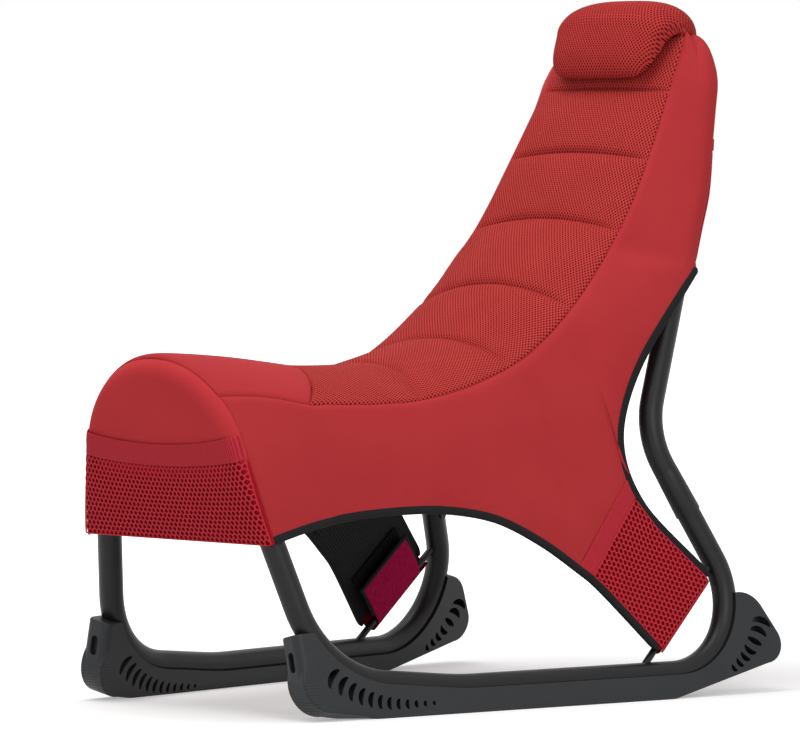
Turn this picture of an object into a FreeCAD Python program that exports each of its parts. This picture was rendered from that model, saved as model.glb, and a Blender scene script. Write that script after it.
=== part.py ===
import FreeCAD, Part
import math
import os

Vec = FreeCAD.Vector

# Rocking gaming chair: two bent-tube side frames on moulded rocker soles, a front hoop, a back hoop
# and a stretched, padded cloth cover. Millimetres and degrees, +Z up, the sitter faces -Y.

# Steel tube frame
TUBE_D = 34.0
TUBE_WALL = 2.0
SLEEVE_WALL = 2.5
SLEEVE_LENGTH = 90.0
FIT_GAP = 0.2                # between parts that slide together
RAIL_HALF_GAP = 275.5        # middle plane to the rail, under the middle of the chair
RAIL_SPLAY = 7.9             # the rails spread towards the rear
FRAME_LEAN = 12.55           # the side frames lean towards each other
RAIL_RISE = 34.8             # rail centre above the floor
FRONT_BEND_U = -354.5        # corner between leg and rail
FRONT_BEND_RISE = 21.6
FRONT_BEND_R = 150.0
TOE_BEND_U = -130.0          # where the rail starts to rise towards the leg
TOE_BEND_R = 500.0
REAR_BEND_U = 420.0
REAR_BEND_R = 110.0
LEG_LEAN = 16.0
UPRIGHT_LEAN = 26.2          # the lower upright leans forwards
LOIN_BEND_V = 376.0          # where the upright turns back
LOIN_BEND_R = 115.0
BACK_LEAN = 22.5
NECK_BEND_V = 731.0          # where the back gets steeper
NECK_BEND_R = 500.0
NECK_LEAN = 15.7
BACK_TOP_V = 927.0
TOP_BEND_R = 60.0
HOOP_TOP_Z = 462.0
HOOP_BEND_R = 132.0          # the hoop's top is nearly one arch
LEG_JOINT_V = 292.0
UPRIGHT_JOINT_V = 260.0

# Screws
JOINT_SCREW_D = 6.0
JOINT_HEAD_D = 11.0
JOINT_HEAD_H = 3.5
JOINT_SCREW_STEP = 25.0      # from the joint to each of its two screws
SOLE_SCREW_D = 5.0
SOLE_HEAD_D = 10.0
SOLE_HEAD_H = 4.0
SOLE_SCREW_U = (-230.0, -75.0, 75.0, 185.0)
SCREW_GAP = 0.3

# Rods that the cover's wings wrap round
ROD_D = 10.0
ROD_LOW = (190.0, 44.0)
ROD_HIGH = (337.0, 186.0)

# Rocker soles
SOLE_WIDTH = 40.0
SOLE_LIP = 5.0               # the sole ends this far below the tube's centre
# Outline of the sole, from its top at the toe, under the rail and up the heel: a corner (u, v), or an
# arc's middle and end
SOLE_OUTLINE = (
    (-403.0, 117.0), (-400.0, 55.0), ((-389.5, 23.5), (-353.0, 7.5)), (-293.0, -1.0), (-213.0, -34.8),
    (110.0, -34.8), (210.0, -8.5), (403.0, 38.5), ((429.0, 59.0), (426.0, 82.0)), (404.0, 119.0),
    ((389.0, 135.0), (367.0, 142.0)),
)
TOE_SLOTS = 12
TOE_SLOT_START = (-349.0, 53.5)
TOE_SLOT_END_V = 12.5
TOE_SLOT_PITCH = 14.6
TOE_SLOT_SIZE = (31.0, 9.6)  # the first and the last: length and width
TOE_SLOT_LAST = (6.0, 5.0)
TOE_SLOT_TILT = 38.0
HEEL_SLOTS = 7
HEEL_SLOT_TURN = -18.0       # bearing of the first one from the centre of the rear bend
HEEL_SLOT_STEP = 5.2
HEEL_SLOT_SIZE = (33.0, 10.0)
HEEL_SLOT_LAST = (12.0, 6.5)
HEEL_SLOT_REACH = (35.0, 19.0)
HEEL_EYE = 2                 # the slots before this one bow upwards, and this one is straight
SLOT_BOW = 0.16              # bow of a slot over its length
SLOT_TIP = 0.4               # width of a slot's ends, as a share of its middle
TOE_SLIT_W = 12.0
TOE_SLIT_H = 28.0
TOE_SLIT_DEPTH = 9.0
TOE_SLIT_DROP = 22.0
TOE_ROUND_R = 12.0           # rounding of the toe's front edges, and of the other outer edges
SOLE_ROUND_R = 3.0

# Cloth cover
COVER_GAP = 1.5              # between the tubes and the cloth round them
SEAM_GAP = 0.5               # between pieces that are sewn together
PANEL_T = 5.0
FRONT_T = 4.0
SADDLE_T = 8.0
SADDLE_CROWN = 3.0
ARCH_BEARING = 47.0          # where the front arch, the saddle and the side panel meet
BACK_T = 4.0
BINDING_W = 12.0
BINDING_T = 8.0
ELASTIC_T = 2.5
NET_T = 2.0
NET_STRAND = 3.5
FRONT_NET_PITCH = 13.0
WING_NET_PITCH = 12.0
BACK_NET_PITCH = 16.0
NET_MARGIN = 9.0
LINING_T = 1.6
FLAP_T = 2.5
FLAP_LENGTH = 110.0
FLAP_WIDTH = 72.0
FLAP_TUBE_T = 2.0
HINGE_GAP = 0.06
HOOK_T = 1.5
HOOK_WIDTH = 30.0
HOOK_SHOW = 18.0             # the part of the hook strip that the closed flap leaves open
QUILT_PUFF = 9.0
SEAT_PUFF = 0.2              # share of that puff at the front of the seat
SEAT_PUFF_ROWS = 3.0         # rows of PAD_EDGE over which it grows to the whole
POCKET_LIP = 1.0

# Pad edge, front to top: place on the side frame (u, v), inset, crown, bow of the seam, thickness
PAD_EDGE = (
    (-326.0, 433.0, -8.0, 47.0, 82.0, 36.0),
    (-124.5, 437.0, 10.0, 40.0, 52.0, 42.0),
    (47.0, 483.0, 24.0, 28.0, 22.0, 36.0),
    (168.0, 563.0, 25.0, 29.0, 15.0, 30.0),
    (269.0, 672.0, 22.0, 13.0, 12.0, 28.0),
    (335.0, 775.0, 16.0, 12.0, 5.0, 24.0),
    (389.0, 876.0, 14.0, 6.0, 0.0, 14.0),
    (428.0, 950.0, 12.0, 4.0, 0.0, 5.0),
)
# Lower edge of the side panel, hem corner to wing tip: (u, v, n)
LOWER_EDGE = (
    (-424.0, 238.0, 26.0), (-352.0, 256.0, 20.5), (-284.0, 268.0, 15.0), (-200.0, 273.0, 14.0),
    (-120.0, 271.0, 14.0), (-40.0, 256.0, 14.0), (30.0, 222.0, 14.0), (88.0, 182.0, 14.0),
    (125.0, 151.5, 14.0), (210.0, 62.0, 14.0),
)
# Rear edge of the side panel, wing tip to the corner at the back tube
REAR_EDGE = (
    (326.0, 171.0, 14.0), (247.0, 247.0, 14.0), (218.0, 286.0, 14.0), (203.0, 330.0, 13.0),
    (204.0, 376.0, 13.0), (223.0, 425.0, 14.0), (255.0, 477.0, 18.0), (296.0, 527.0, 24.0),
    (338.0, 572.0, 26.0), (372.0, 606.0, 22.0),
)
BAND_WIDTH = 27.0            # elastic band across the wing
# Where the side panel's stations meet the pad: places along PAD_EDGE, then with heights on the back tube
PANEL_PAD_T = (0.0, 0.25, 0.62, 1.0, 1.45, 1.85, 2.25, 2.6, 2.9, 3.05, 3.2, 3.32, 3.44, 3.56, 3.7, 3.84)
PANEL_BACK = ((4.05, 634.0), (4.4, 678.0), (4.85, 731.0), (5.45, 800.0), (6.5, 864.0))
PANEL_HOOP_SHARE = 0.3       # how far along the first run of LOWER_EDGE the second station ends
PANEL_SWELL = 10.0
PANEL_TURN = 6.0             # the panel stands out furthest this far behind the back tube's centre
WING_LOW_INDEX = 7           # the rows of LOWER_EDGE and REAR_EDGE where the wing's seam ends
WING_REAR_INDEX = 2
WING_REAR_SHARE = 0.62       # at the rear it ends this far from that row towards the next

# Front pocket, measured up the front hoop's plane
HEM_W = 250.0
FRONT_BAND_LOW_W = 362.0
FRONT_BAND_H = 36.0
# Back cover and its pocket, heights on the side frame
BACK_ROWS_V = (618.0, NECK_BEND_V, 830.0, 900.0)
BACK_POCKET_V = 626.0
BACK_POCKET_H = 165.0
CAP_TURN = 150.0             # how far the top cap goes round the hoop

# Head pillow, a saddle pad over the top of the back
PILLOW_HALF_W = 126.0
PILLOW_LOW_T = 6.12          # where its lower edge lies along PAD_EDGE
PILLOW_EDGE = 12.0
PILLOW_DEPTH = 36.0
PILLOW_RISE = 46.0
PILLOW_NOSE = 14.0           # its upper front edge stands this far ahead and above
PILLOW_SHOULDER = 30.0
PILLOW_HEEL = 28.0
PILLOW_LIFT_LEAN = 17.5      # it lifts off along the upper back
PILLOW_FLAP_LENGTH = 95.0
PILLOW_FLAP_HALF_W = 84.0
PILLOW_FLAP_T = 8.0
PILLOW_GAP = 3.0

TUBE_R = TUBE_D / 2
RAIL_V = RAIL_RISE
FRONT_BEND_V = RAIL_V + FRONT_BEND_RISE


def tan(angle):
    return math.tan(math.radians(angle))


def rows_at(rows, t):
    """Smooth curve through the rows of a table: t = 0 is the first row, 1 the second and so on."""
    i = min(int(t), len(rows) - 2)
    f = t - i
    before = rows[max(i - 1, 0)]
    after = rows[min(i + 2, len(rows) - 1)]
    point = []
    for a, b, c, d in zip(before, rows[i], rows[i + 1], after):
        slope_b = (c - a) / 2
        slope_c = (d - b) / 2
        k = 2*(b - c) + slope_b + slope_c
        point.append(b + slope_b*f + (3*(c - b) - 2*slope_b - slope_c)*f**2 + k*f**3)
    return point


# The left side frame's plane: u runs back along the rail, v up the leaning plane, n outwards.
SPLAY = math.radians(RAIL_SPLAY)
LEAN = math.radians(FRAME_LEAN)
U_AXIS = Vec(math.sin(SPLAY), math.cos(SPLAY), 0)
V_AXIS = Vec(-math.sin(LEAN)*math.cos(SPLAY), math.sin(LEAN)*math.sin(SPLAY), math.cos(LEAN))
N_AXIS = U_AXIS.cross(V_AXIS)


def side(u, v, n=0.0):
    return Vec(RAIL_HALF_GAP, 0, 0) + U_AXIS*u + V_AXIS*v + N_AXIS*n


def mirrored(point):
    return Vec(-point.x, point.y, point.z)


# Tube centre lines on that plane
def leg_u(v):
    return FRONT_BEND_U - (v - FRONT_BEND_V)*tan(LEG_LEAN)


def upright_u(v):
    return REAR_BEND_U - (v - RAIL_V)*tan(UPRIGHT_LEAN)


def back_u(v):
    """Centre of the back tube at height v above the loin bend."""
    loin = upright_u(LOIN_BEND_V)
    neck = loin + (min(v, NECK_BEND_V) - LOIN_BEND_V)*tan(BACK_LEAN)
    return neck + max(v - NECK_BEND_V, 0)*tan(NECK_LEAN)


LEG_TOP = side(leg_u(LEG_JOINT_V), LEG_JOINT_V)
LEG_AXIS = (side(leg_u(1.0), 1.0) - side(leg_u(0.0), 0.0)).normalize()
UPRIGHT_TOP = side(upright_u(UPRIGHT_JOINT_V), UPRIGHT_JOINT_V)
UPRIGHT_AXIS = (side(upright_u(1.0), 1.0) - side(upright_u(0.0), 0.0)).normalize()

# The front hoop's plane: x sideways, w up the legs, f forwards
FRONT_ANGLE = math.atan2(-LEG_AXIS.y, LEG_AXIS.z)
W_AXIS = Vec(0, -math.sin(FRONT_ANGLE), math.cos(FRONT_ANGLE))
F_AXIS = Vec(0, -math.cos(FRONT_ANGLE), -math.sin(FRONT_ANGLE))
FRONT_FOOT = LEG_TOP - LEG_AXIS*(LEG_TOP.z / LEG_AXIS.z)
FRONT_FOOT.x = 0.0


def front(x, w, f=0.0):
    return FRONT_FOOT + Vec(x, 0, 0) + W_AXIS*w + F_AXIS*f


def on_leg(z):
    return LEG_TOP + LEG_AXIS*((z - LEG_TOP.z) / LEG_AXIS.z)


def bent_path(points, radii):
    """Straight runs between the points, joined by tangent arcs of the given radii."""
    edges = []
    start = points[0]
    for before, corner, after, radius in zip(points, points[1:], points[2:], radii):
        back = (before - corner).normalize()
        ahead = (after - corner).normalize()
        half_turn = (math.pi - back.getAngle(ahead)) / 2
        reach = radius*math.tan(half_turn)
        middle = corner + (back + ahead).normalize()*(radius/math.cos(half_turn) - radius)
        edges.append(Part.LineSegment(start, corner + back*reach).toShape())
        edges.append(Part.Arc(corner + back*reach, middle, corner + ahead*reach).toShape())
        start = corner + ahead*reach
    edges.append(Part.LineSegment(start, points[-1]).toShape())
    return Part.Wire(edges)


def grown(points, distance):
    """The same corners moved to the outside of their bends, and the ends moved square to their runs."""
    moved = []
    for before, corner, after in zip(points, points[1:], points[2:]):
        back = (before - corner).normalize()
        ahead = (after - corner).normalize()
        half_turn = (math.pi - back.getAngle(ahead)) / 2
        moved.append(corner - (back + ahead).normalize()*(distance/math.cos(half_turn)))
    axis = (points[0] - points[1]).cross(points[2] - points[1]).normalize()
    first = points[0] + (points[0] - points[1]).cross(axis).normalize()*distance
    last = points[-1] + axis.cross(points[-1] - points[-2]).normalize()*distance
    return [first] + moved + [last]


def round_bar(path, diameter):
    first = path.OrderedEdges[0]
    along = first.tangentAt(first.FirstParameter)
    ring = Part.makeCircle(diameter/2, first.valueAt(first.FirstParameter), along)
    return path.makePipeShell([Part.Wire(ring)], True, False)


def tube(path, diameter, wall):
    return round_bar(path, diameter).cut(round_bar(path, diameter - 2*wall))


def rod(start, end, diameter):
    return Part.makeCylinder(diameter/2, start.distanceToPoint(end), start, end - start)


SIDE_CORNERS = [
    LEG_TOP,
    side(FRONT_BEND_U, FRONT_BEND_V),
    side(TOE_BEND_U, RAIL_V),
    side(REAR_BEND_U, RAIL_V),
    UPRIGHT_TOP,
]
SIDE_RADII = [FRONT_BEND_R, TOE_BEND_R, REAR_BEND_R]
SIDE_PATH = bent_path(SIDE_CORNERS, SIDE_RADII)

HOOP_CORNER = on_leg(HOOP_TOP_Z)
HOOP_CORNERS = [LEG_TOP, HOOP_CORNER, mirrored(HOOP_CORNER), mirrored(LEG_TOP)]
BACK_CORNERS = [
    UPRIGHT_TOP,
    side(upright_u(LOIN_BEND_V), LOIN_BEND_V),
    side(back_u(NECK_BEND_V), NECK_BEND_V),
    side(back_u(BACK_TOP_V), BACK_TOP_V),
]
BACK_RADII = [LOIN_BEND_R, NECK_BEND_R, TOP_BEND_R]


def joint_screws(diameter, head):
    """Two screws at each joint of the left side, put in from the inner face."""
    screws = []
    for place, axis in ((LEG_TOP, LEG_AXIS), (UPRIGHT_TOP, UPRIGHT_AXIS)):
        for step in (-JOINT_SCREW_STEP, JOINT_SCREW_STEP):
            centre = place + axis*step
            seat = centre - N_AXIS*TUBE_R
            screw = rod(seat, centre - N_AXIS*(TUBE_R - TUBE_WALL - FIT_GAP - 2*SLEEVE_WALL), diameter)
            if head:
                cap = rod(seat, seat - N_AXIS*JOINT_HEAD_H, JOINT_HEAD_D)
                screw = screw.fuse(cap).removeSplitter()
            screws.append(screw)
    return screws


def sole_screws(diameter, head):
    """Screws that hold the left sole to the rail, their heads sunk in its underside."""
    screws = []
    for u in SOLE_SCREW_U:
        tip = side(u, RAIL_V - TUBE_R + TUBE_WALL + SOLE_HEAD_H)
        seat = side(u, RAIL_V - TUBE_R - 2*SOLE_HEAD_H)
        screw = rod(seat, tip, diameter)
        if head:
            screw = screw.fuse(rod(seat, seat - V_AXIS*SOLE_HEAD_H, SOLE_HEAD_D)).removeSplitter()
        screws.append(screw)
    return screws


JOINT_HOLES = Part.makeCompound(joint_screws(JOINT_SCREW_D + 2*SCREW_GAP, False))
SOLE_HOLES = Part.makeCompound(sole_screws(SOLE_SCREW_D + 2*SCREW_GAP, False))


def both_sides(shape):
    return Part.makeCompound([shape, shape.mirror(Vec(0, 0, 0), Vec(1, 0, 0))])


def side_tube():
    return tube(SIDE_PATH, TUBE_D, TUBE_WALL).cut(JOINT_HOLES).cut(SOLE_HOLES)


def front_hoop():
    path = bent_path(HOOP_CORNERS, [HOOP_BEND_R, HOOP_BEND_R])
    return tube(path, TUBE_D, TUBE_WALL).cut(both_sides(JOINT_HOLES))


def back_hoop():
    corners = BACK_CORNERS + [mirrored(corner) for corner in reversed(BACK_CORNERS)]
    path = bent_path(corners, BACK_RADII + BACK_RADII[::-1])
    return tube(path, TUBE_D, TUBE_WALL).cut(both_sides(JOINT_HOLES))


def joint_sleeve(place, axis):
    outside = TUBE_D - 2*TUBE_WALL - 2*FIT_GAP
    start = place - axis*(SLEEVE_LENGTH/2)
    end = place + axis*(SLEEVE_LENGTH/2)
    sleeve = rod(start, end, outside).cut(rod(start, end, outside - 2*SLEEVE_WALL))
    return sleeve.cut(JOINT_HOLES)


def wing_rod():
    bar = rod(side(*ROD_LOW), side(*ROD_HIGH), ROD_D)
    pieces = bar.cut(round_bar(SIDE_PATH, TUBE_D)).Solids
    return max(pieces, key=lambda piece: piece.Length)


def closed_face(pieces, place):
    """Face from a chain of (u, v) points; a chain item of two points is an arc through the first."""
    edges = []
    start = pieces[0]
    for piece in pieces[1:] + pieces[:1]:
        if isinstance(piece[0], tuple):
            edges.append(Part.Arc(place(*start), place(*piece[0]), place(*piece[1])).toShape())
            start = piece[1]
        else:
            edges.append(Part.LineSegment(place(*start), place(*piece)).toShape())
            start = piece
    return Part.Face(Part.Wire(edges))


def crescent(centre, along, length, width, bow):
    """Curved slot on the side plane, as (u, v): length runs in the direction along."""
    across = (along[1], -along[0])

    def at(a, b):
        return side(centre[0] + along[0]*a + across[0]*b, centre[1] + along[1]*a + across[1]*b,
                    -SOLE_WIDTH)

    rise = length*bow
    tip = width*SLOT_TIP/2
    outer = Part.Arc(at(-length/2, tip), at(0, rise + width/2), at(length/2, tip)).toShape()
    end = Part.LineSegment(at(length/2, tip), at(length/2, -tip)).toShape()
    inner = Part.Arc(at(length/2, -tip), at(0, rise - width/2), at(-length/2, -tip)).toShape()
    start = Part.LineSegment(at(-length/2, -tip), at(-length/2, tip)).toShape()
    return Part.Face(Part.Wire([outer, end, inner, start])).extrude(N_AXIS*(2*SOLE_WIDTH))


def sole_slots():
    slots = []
    last = TOE_SLOTS - 1
    for i in range(TOE_SLOTS):
        f = i/last
        drop = (TOE_SLOT_START[1] - TOE_SLOT_END_V)*(1 - f)**3.2
        centre = (TOE_SLOT_START[0] + i*TOE_SLOT_PITCH, TOE_SLOT_END_V + drop)
        tilt = math.radians(90 - TOE_SLOT_TILT*(1 - f)**2)
        length, width = [a + (b - a)*f for a, b in zip(TOE_SLOT_SIZE, TOE_SLOT_LAST)]
        slots.append(crescent(centre, (-math.cos(tilt), -math.sin(tilt)), length, width, SLOT_BOW))
    bend_centre = (REAR_BEND_U - REAR_BEND_R*tan(45 + UPRIGHT_LEAN/2), RAIL_V + REAR_BEND_R)
    for i in range(HEEL_SLOTS):
        f = i/(HEEL_SLOTS - 1)
        angle = math.radians(HEEL_SLOT_TURN - i*HEEL_SLOT_STEP)
        out = (math.cos(angle), math.sin(angle))
        reach = REAR_BEND_R + TUBE_R + HEEL_SLOT_REACH[0] + (HEEL_SLOT_REACH[1] - HEEL_SLOT_REACH[0])*f
        centre = (bend_centre[0] + out[0]*reach, bend_centre[1] + out[1]*reach)
        length, width = [a + (b - a)*f for a, b in zip(HEEL_SLOT_SIZE, HEEL_SLOT_LAST)]
        bow = SLOT_BOW*(i > HEEL_EYE) - SLOT_BOW*(i < HEEL_EYE)
        slots.append(crescent(centre, out, length, width, bow))
    return slots


def sole():
    """Moulded rocker sole: flat under the rail, turned up at the heel, with a blunt toe."""
    def flat(u, v):
        return side(u, v, -SOLE_WIDTH/2)

    outline = closed_face(list(SOLE_OUTLINE), flat)
    body = outline.extrude(N_AXIS*SOLE_WIDTH)
    toe_u, toe_v = SOLE_OUTLINE[0]
    for radius, reach in ((TOE_ROUND_R, toe_u + TOE_ROUND_R), (SOLE_ROUND_R, -toe_u)):
        rims = []
        for edge in body.Edges:
            middle = edge.CenterOfMass - side(0, 0)
            if abs(abs(middle.dot(N_AXIS)) - SOLE_WIDTH/2) < FIT_GAP and middle.dot(U_AXIS) < reach:
                rims.append(edge)
        body = body.makeFillet(radius, rims)
    lip = grown(SIDE_CORNERS, SOLE_LIP)
    lip_path = bent_path(lip, [radius + SOLE_LIP for radius in SIDE_RADII])
    inside = Part.Face(Part.Wire(lip_path.Edges + [Part.LineSegment(lip[-1], lip[0]).toShape()]))
    inside.translate(N_AXIS*-SOLE_WIDTH)
    body = body.cut(inside.extrude(N_AXIS*(2*SOLE_WIDTH)))
    body = body.cut(round_bar(SIDE_PATH, TUBE_D + 2*FIT_GAP))
    box = body.BoundBox
    floor = Part.makeBox(box.XLength, box.YLength, box.ZLength, Vec(box.XMin, box.YMin, -box.ZLength))
    body = body.cut(floor).cut(Part.makeCompound(sole_slots()))
    recesses = []
    for u in SOLE_SCREW_U:
        seat = side(u, RAIL_V - TUBE_R - 2*SOLE_HEAD_H)
        recesses.append(rod(seat, side(u, -RAIL_RISE), SOLE_HEAD_D + 2*SCREW_GAP))
    body = body.cut(Part.makeCompound(recesses)).cut(SOLE_HOLES)
    slit = Part.makeBox(2*TOE_SLIT_DEPTH, TOE_SLIT_W, TOE_SLIT_H - TOE_SLIT_W)
    slit.translate(Vec(-TOE_SLIT_DEPTH, -TOE_SLIT_W/2, 0))
    turn = FreeCAD.Rotation(U_AXIS, N_AXIS*-1, V_AXIS)
    low_v = toe_v - TOE_SLIT_DROP - TOE_SLIT_H + TOE_SLIT_W/2
    slit.Placement = FreeCAD.Placement(side(toe_u, low_v), turn).multiply(slit.Placement)
    for v in (low_v, low_v + TOE_SLIT_H - TOE_SLIT_W):
        body = body.cut(rod(side(toe_u - TOE_SLIT_DEPTH, v), side(toe_u + TOE_SLIT_DEPTH, v), TOE_SLIT_W))
    body = body.cut(slit)
    return max(body.Solids, key=lambda piece: piece.Volume)


def inward(start, middle, end):
    """Direction from an arc's middle square to its chord."""
    chord = end - start
    share = (middle - start).dot(chord)/chord.dot(chord)
    return (start + chord*share - middle).normalize()


def strip(stations, moves):
    """Ruled solid through arcs given by three points each, backed by the same arcs moved."""
    sections = []
    for (start, middle, end), move in zip(stations, moves):
        sections.append(Part.Wire([
            Part.Arc(start, middle, end).toShape(),
            Part.LineSegment(end, end + move).toShape(),
            Part.Arc(end + move, middle + move, start + move).toShape(),
            Part.LineSegment(start + move, start).toShape(),
        ]))
    return Part.makeLoft(sections, True, True)


def pad_point(t):
    """Pad edge at t on the left, with the directions along the pad and out of it."""
    u, v, inset, crown, bow, thick = rows_at(PAD_EDGE, t)
    edge = side(u, v, -inset)
    end = len(PAD_EDGE) - 1
    ahead = rows_at(PAD_EDGE, min(t + 0.05, end))
    behind = rows_at(PAD_EDGE, max(t - 0.05, 0))
    along = side(ahead[0], ahead[1], -ahead[2]) - side(behind[0], behind[1], -behind[2])
    along.x = 0
    along.normalize()
    out = Vec(1, 0, 0).cross(along)
    return edge, along, out, crown, bow, thick


def pad():
    """Quilted seat and back pad: crowned across, drawn in along the seams between its channels."""
    stations = []
    moves = []
    channels = len(PAD_EDGE) - 1
    fractions = (0.0, 0.08, 0.25, 0.5, 0.75, 0.92)
    for t in [i + f for i in range(channels) for f in fractions] + [channels]:
        edge, along, out, crown, bow, thick = pad_point(t)
        f = t - int(t)
        share = min(1.0, SEAT_PUFF + (1 - SEAT_PUFF)*t/SEAT_PUFF_ROWS)
        puff = QUILT_PUFF*share*math.sqrt(4*f*(1 - f))
        edge.x -= SEAM_GAP
        top = Vec(0, edge.y, edge.z) + out*(crown + puff) + along*bow
        stations.append((mirrored(edge), top, edge))
        moves.append(inward(*stations[-1])*thick)
    return strip(stations, moves)


def arch_point(bearing, reach):
    """Point (x, w) round the left bend of the front hoop, at a bearing from level, outside its centre line."""
    half_turn = (math.pi/2 - math.atan2(-LEG_AXIS.x, LEG_AXIS.dot(W_AXIS)))/2
    centre_x = HOOP_CORNER.x - HOOP_BEND_R*math.tan(half_turn)
    centre_w = (HOOP_CORNER - FRONT_FOOT).dot(W_AXIS) - HOOP_BEND_R
    turn = math.radians(bearing)
    radius = HOOP_BEND_R + reach
    return centre_x + radius*math.cos(turn), centre_w + radius*math.sin(turn)


def saddle_stations():
    """Arcs of the smooth panel over the front hoop, from the front arch to the mesh."""
    reach = TUBE_R + COVER_GAP + SADDLE_T
    x, w = arch_point(ARCH_BEARING, reach)
    top_w = arch_point(90, reach)[1]
    face = TUBE_R + COVER_GAP
    first, second = [
        (front(-x, w, f), front(0, top_w, f), front(x, w, f)) for f in (face - SEAM_GAP, -face)]
    edge, along, out, crown, bow, thick = pad_point(0)
    edge = edge - along*SEAM_GAP
    edge.x -= SEAM_GAP
    last = (mirrored(edge), Vec(0, edge.y, edge.z) + out*crown + along*bow, edge)
    third = tuple((a + b)*0.5 + Vec(0, 0, SADDLE_CROWN) for a, b in zip(second, last))
    return [first, second, third, last]


def saddle():
    stations = saddle_stations()
    return strip(stations, [inward(*station)*SADDLE_T for station in stations])


def front_face(grow, low, high):
    """Face on the hoop's plane inside its outline, between two heights."""
    foot = front(0, low)
    outer = [on_leg(foot.z), HOOP_CORNER, mirrored(HOOP_CORNER), mirrored(on_leg(foot.z))]
    wide = grown(outer, grow)
    path = bent_path(wide, [HOOP_BEND_R + grow]*2)
    face = Part.Face(Part.Wire(path.Edges + [Part.LineSegment(wide[-1], wide[0]).toShape()]))
    window = Part.Face(Part.makePolygon([
        front(-2*RAIL_HALF_GAP, low), front(2*RAIL_HALF_GAP, low), front(2*RAIL_HALF_GAP, high),
        front(-2*RAIL_HALF_GAP, high), front(-2*RAIL_HALF_GAP, low)]))
    return face.common(window).Faces[0]


def front_plate(grow, low, high, behind, thick):
    face = front_face(grow, low, high)
    face.translate(F_AXIS*behind)
    return face.extrude(F_AXIS*thick)


COVER_REACH = TUBE_R + COVER_GAP + FRONT_T


def front_panel():
    return front_plate(COVER_REACH, HEM_W, 2*HOOP_TOP_Z, TUBE_R + COVER_GAP, FRONT_T)


def net_face(outline, place, pitch):
    """Flat net: one face inside a convex outline, with hexagonal gaps in staggered rows."""
    def inside(p, q):
        for (ax, ay), (bx, by) in zip(outline, outline[1:] + outline[:1]):
            length = math.hypot(bx - ax, by - ay)
            if ((bx - ax)*(q - ay) - (by - ay)*(p - ax))/length < NET_MARGIN:
                return False
        return True

    radius = (pitch - NET_STRAND)/2
    wires = [Part.makePolygon([place(*point) for point in outline + outline[:1]])]
    low_p, high_p = min(p for p, q in outline), max(p for p, q in outline)
    low_q, high_q = min(q for p, q in outline), max(q for p, q in outline)
    row_step = pitch*math.sqrt(3)/2
    for row in range(int((high_q - low_q)/row_step)):
        for column in range(int((high_p - low_p)/pitch) + 1):
            p = low_p + (column + 0.5*(row % 2))*pitch
            q = low_q + (row + 0.5)*row_step
            if inside(p, q):
                turns = [math.radians(90 + 60*k) for k in range(7)]
                ring = [place(p + radius*math.cos(a), q + radius*math.sin(a)) for a in turns]
                wires.append(Part.makePolygon(ring))
    return Part.makeFace(Part.makeCompound(wires), "Part::FaceMakerBullseye")


def front_half_width(w):
    return on_leg(front(0, w).z).x + COVER_REACH


def front_net():
    low, high = HEM_W, FRONT_BAND_LOW_W - SEAM_GAP
    a, b = front_half_width(low), front_half_width(high)
    behind = TUBE_R + COVER_GAP + FRONT_T + POCKET_LIP

    def place(x, w):
        return front(x, w, behind)

    return net_face([(-a, low), (a, low), (b, high), (-b, high)], place, FRONT_NET_PITCH).extrude(F_AXIS*NET_T)


def front_band():
    behind = TUBE_R + COVER_GAP + FRONT_T + POCKET_LIP
    return front_plate(COVER_REACH, FRONT_BAND_LOW_W, FRONT_BAND_LOW_W + FRONT_BAND_H, behind, ELASTIC_T)


def edge_inward(points):
    """Unit directions on the side plane, square to an edge, to the left of its run."""
    turned = []
    for i in range(len(points)):
        before = points[max(i - 1, 0)]
        after = points[min(i + 1, len(points) - 1)]
        du, dv = after[0] - before[0], after[1] - before[1]
        length = math.hypot(du, dv)
        turned.append((-dv/length, du/length))
    return turned


def inset_edge(points, distance):
    turned = edge_inward(points)
    return [(p[0] + w[0]*distance, p[1] + w[1]*distance, p[2]) for p, w in zip(points, turned)]


def binding(points):
    """Folded tape along an edge of the cover."""
    outer = list(points)
    inner = inset_edge(outer, BINDING_W)
    half = (BINDING_T - PANEL_T)/2
    sections = []
    for a, b in zip(outer, inner):
        high_a, high_b = side(a[0], a[1], a[2] + half), side(b[0], b[1], b[2] + half)
        drop = N_AXIS*-BINDING_T
        sections.append(Part.makePolygon([high_a, high_b, high_b + drop, high_a + drop, high_a]))
    return Part.makeLoft(sections, True, True)


def bound_edges(gap):
    """Inner edges of the lower and rear bindings, moved in by a gap."""
    return inset_edge(LOWER_EDGE, BINDING_W + gap), inset_edge(REAR_EDGE, BINDING_W + gap)


def meet(p, run, q, way):
    """Where the line through p along run meets the line through q along way."""
    cross = run[0]*way[1] - run[1]*way[0]
    t = ((q[0] - p[0])*way[1] - (q[1] - p[1])*way[0])/cross
    return p[0] + run[0]*t, p[1] + run[1]*t


def between(a, b):
    return b[0] - a[0], b[1] - a[1]


def seam_ends(lower, rear):
    """Ends of the wing's seam with the side panel, on its lower and rear edges."""
    corner, above = rear[WING_REAR_INDEX], rear[WING_REAR_INDEX + 1]
    return lower[WING_LOW_INDEX], [p + (q - p)*WING_REAR_SHARE for p, q in zip(corner, above)]


def wing_cut(distance):
    """Line across the wing, at a distance below its seam with the side panel: lower and rear ends."""
    lower, rear = bound_edges(SEAM_GAP)
    a, b = seam_ends(lower, rear)
    way = between(a, b)
    length = math.hypot(*way)
    place = (a[0] + way[1]/length*distance, a[1] - way[0]/length*distance)
    low = meet(a, between(a, lower[WING_LOW_INDEX + 1]), place, way)
    high = meet(b, between(b, rear[WING_REAR_INDEX]), place, way)
    return low, high


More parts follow.
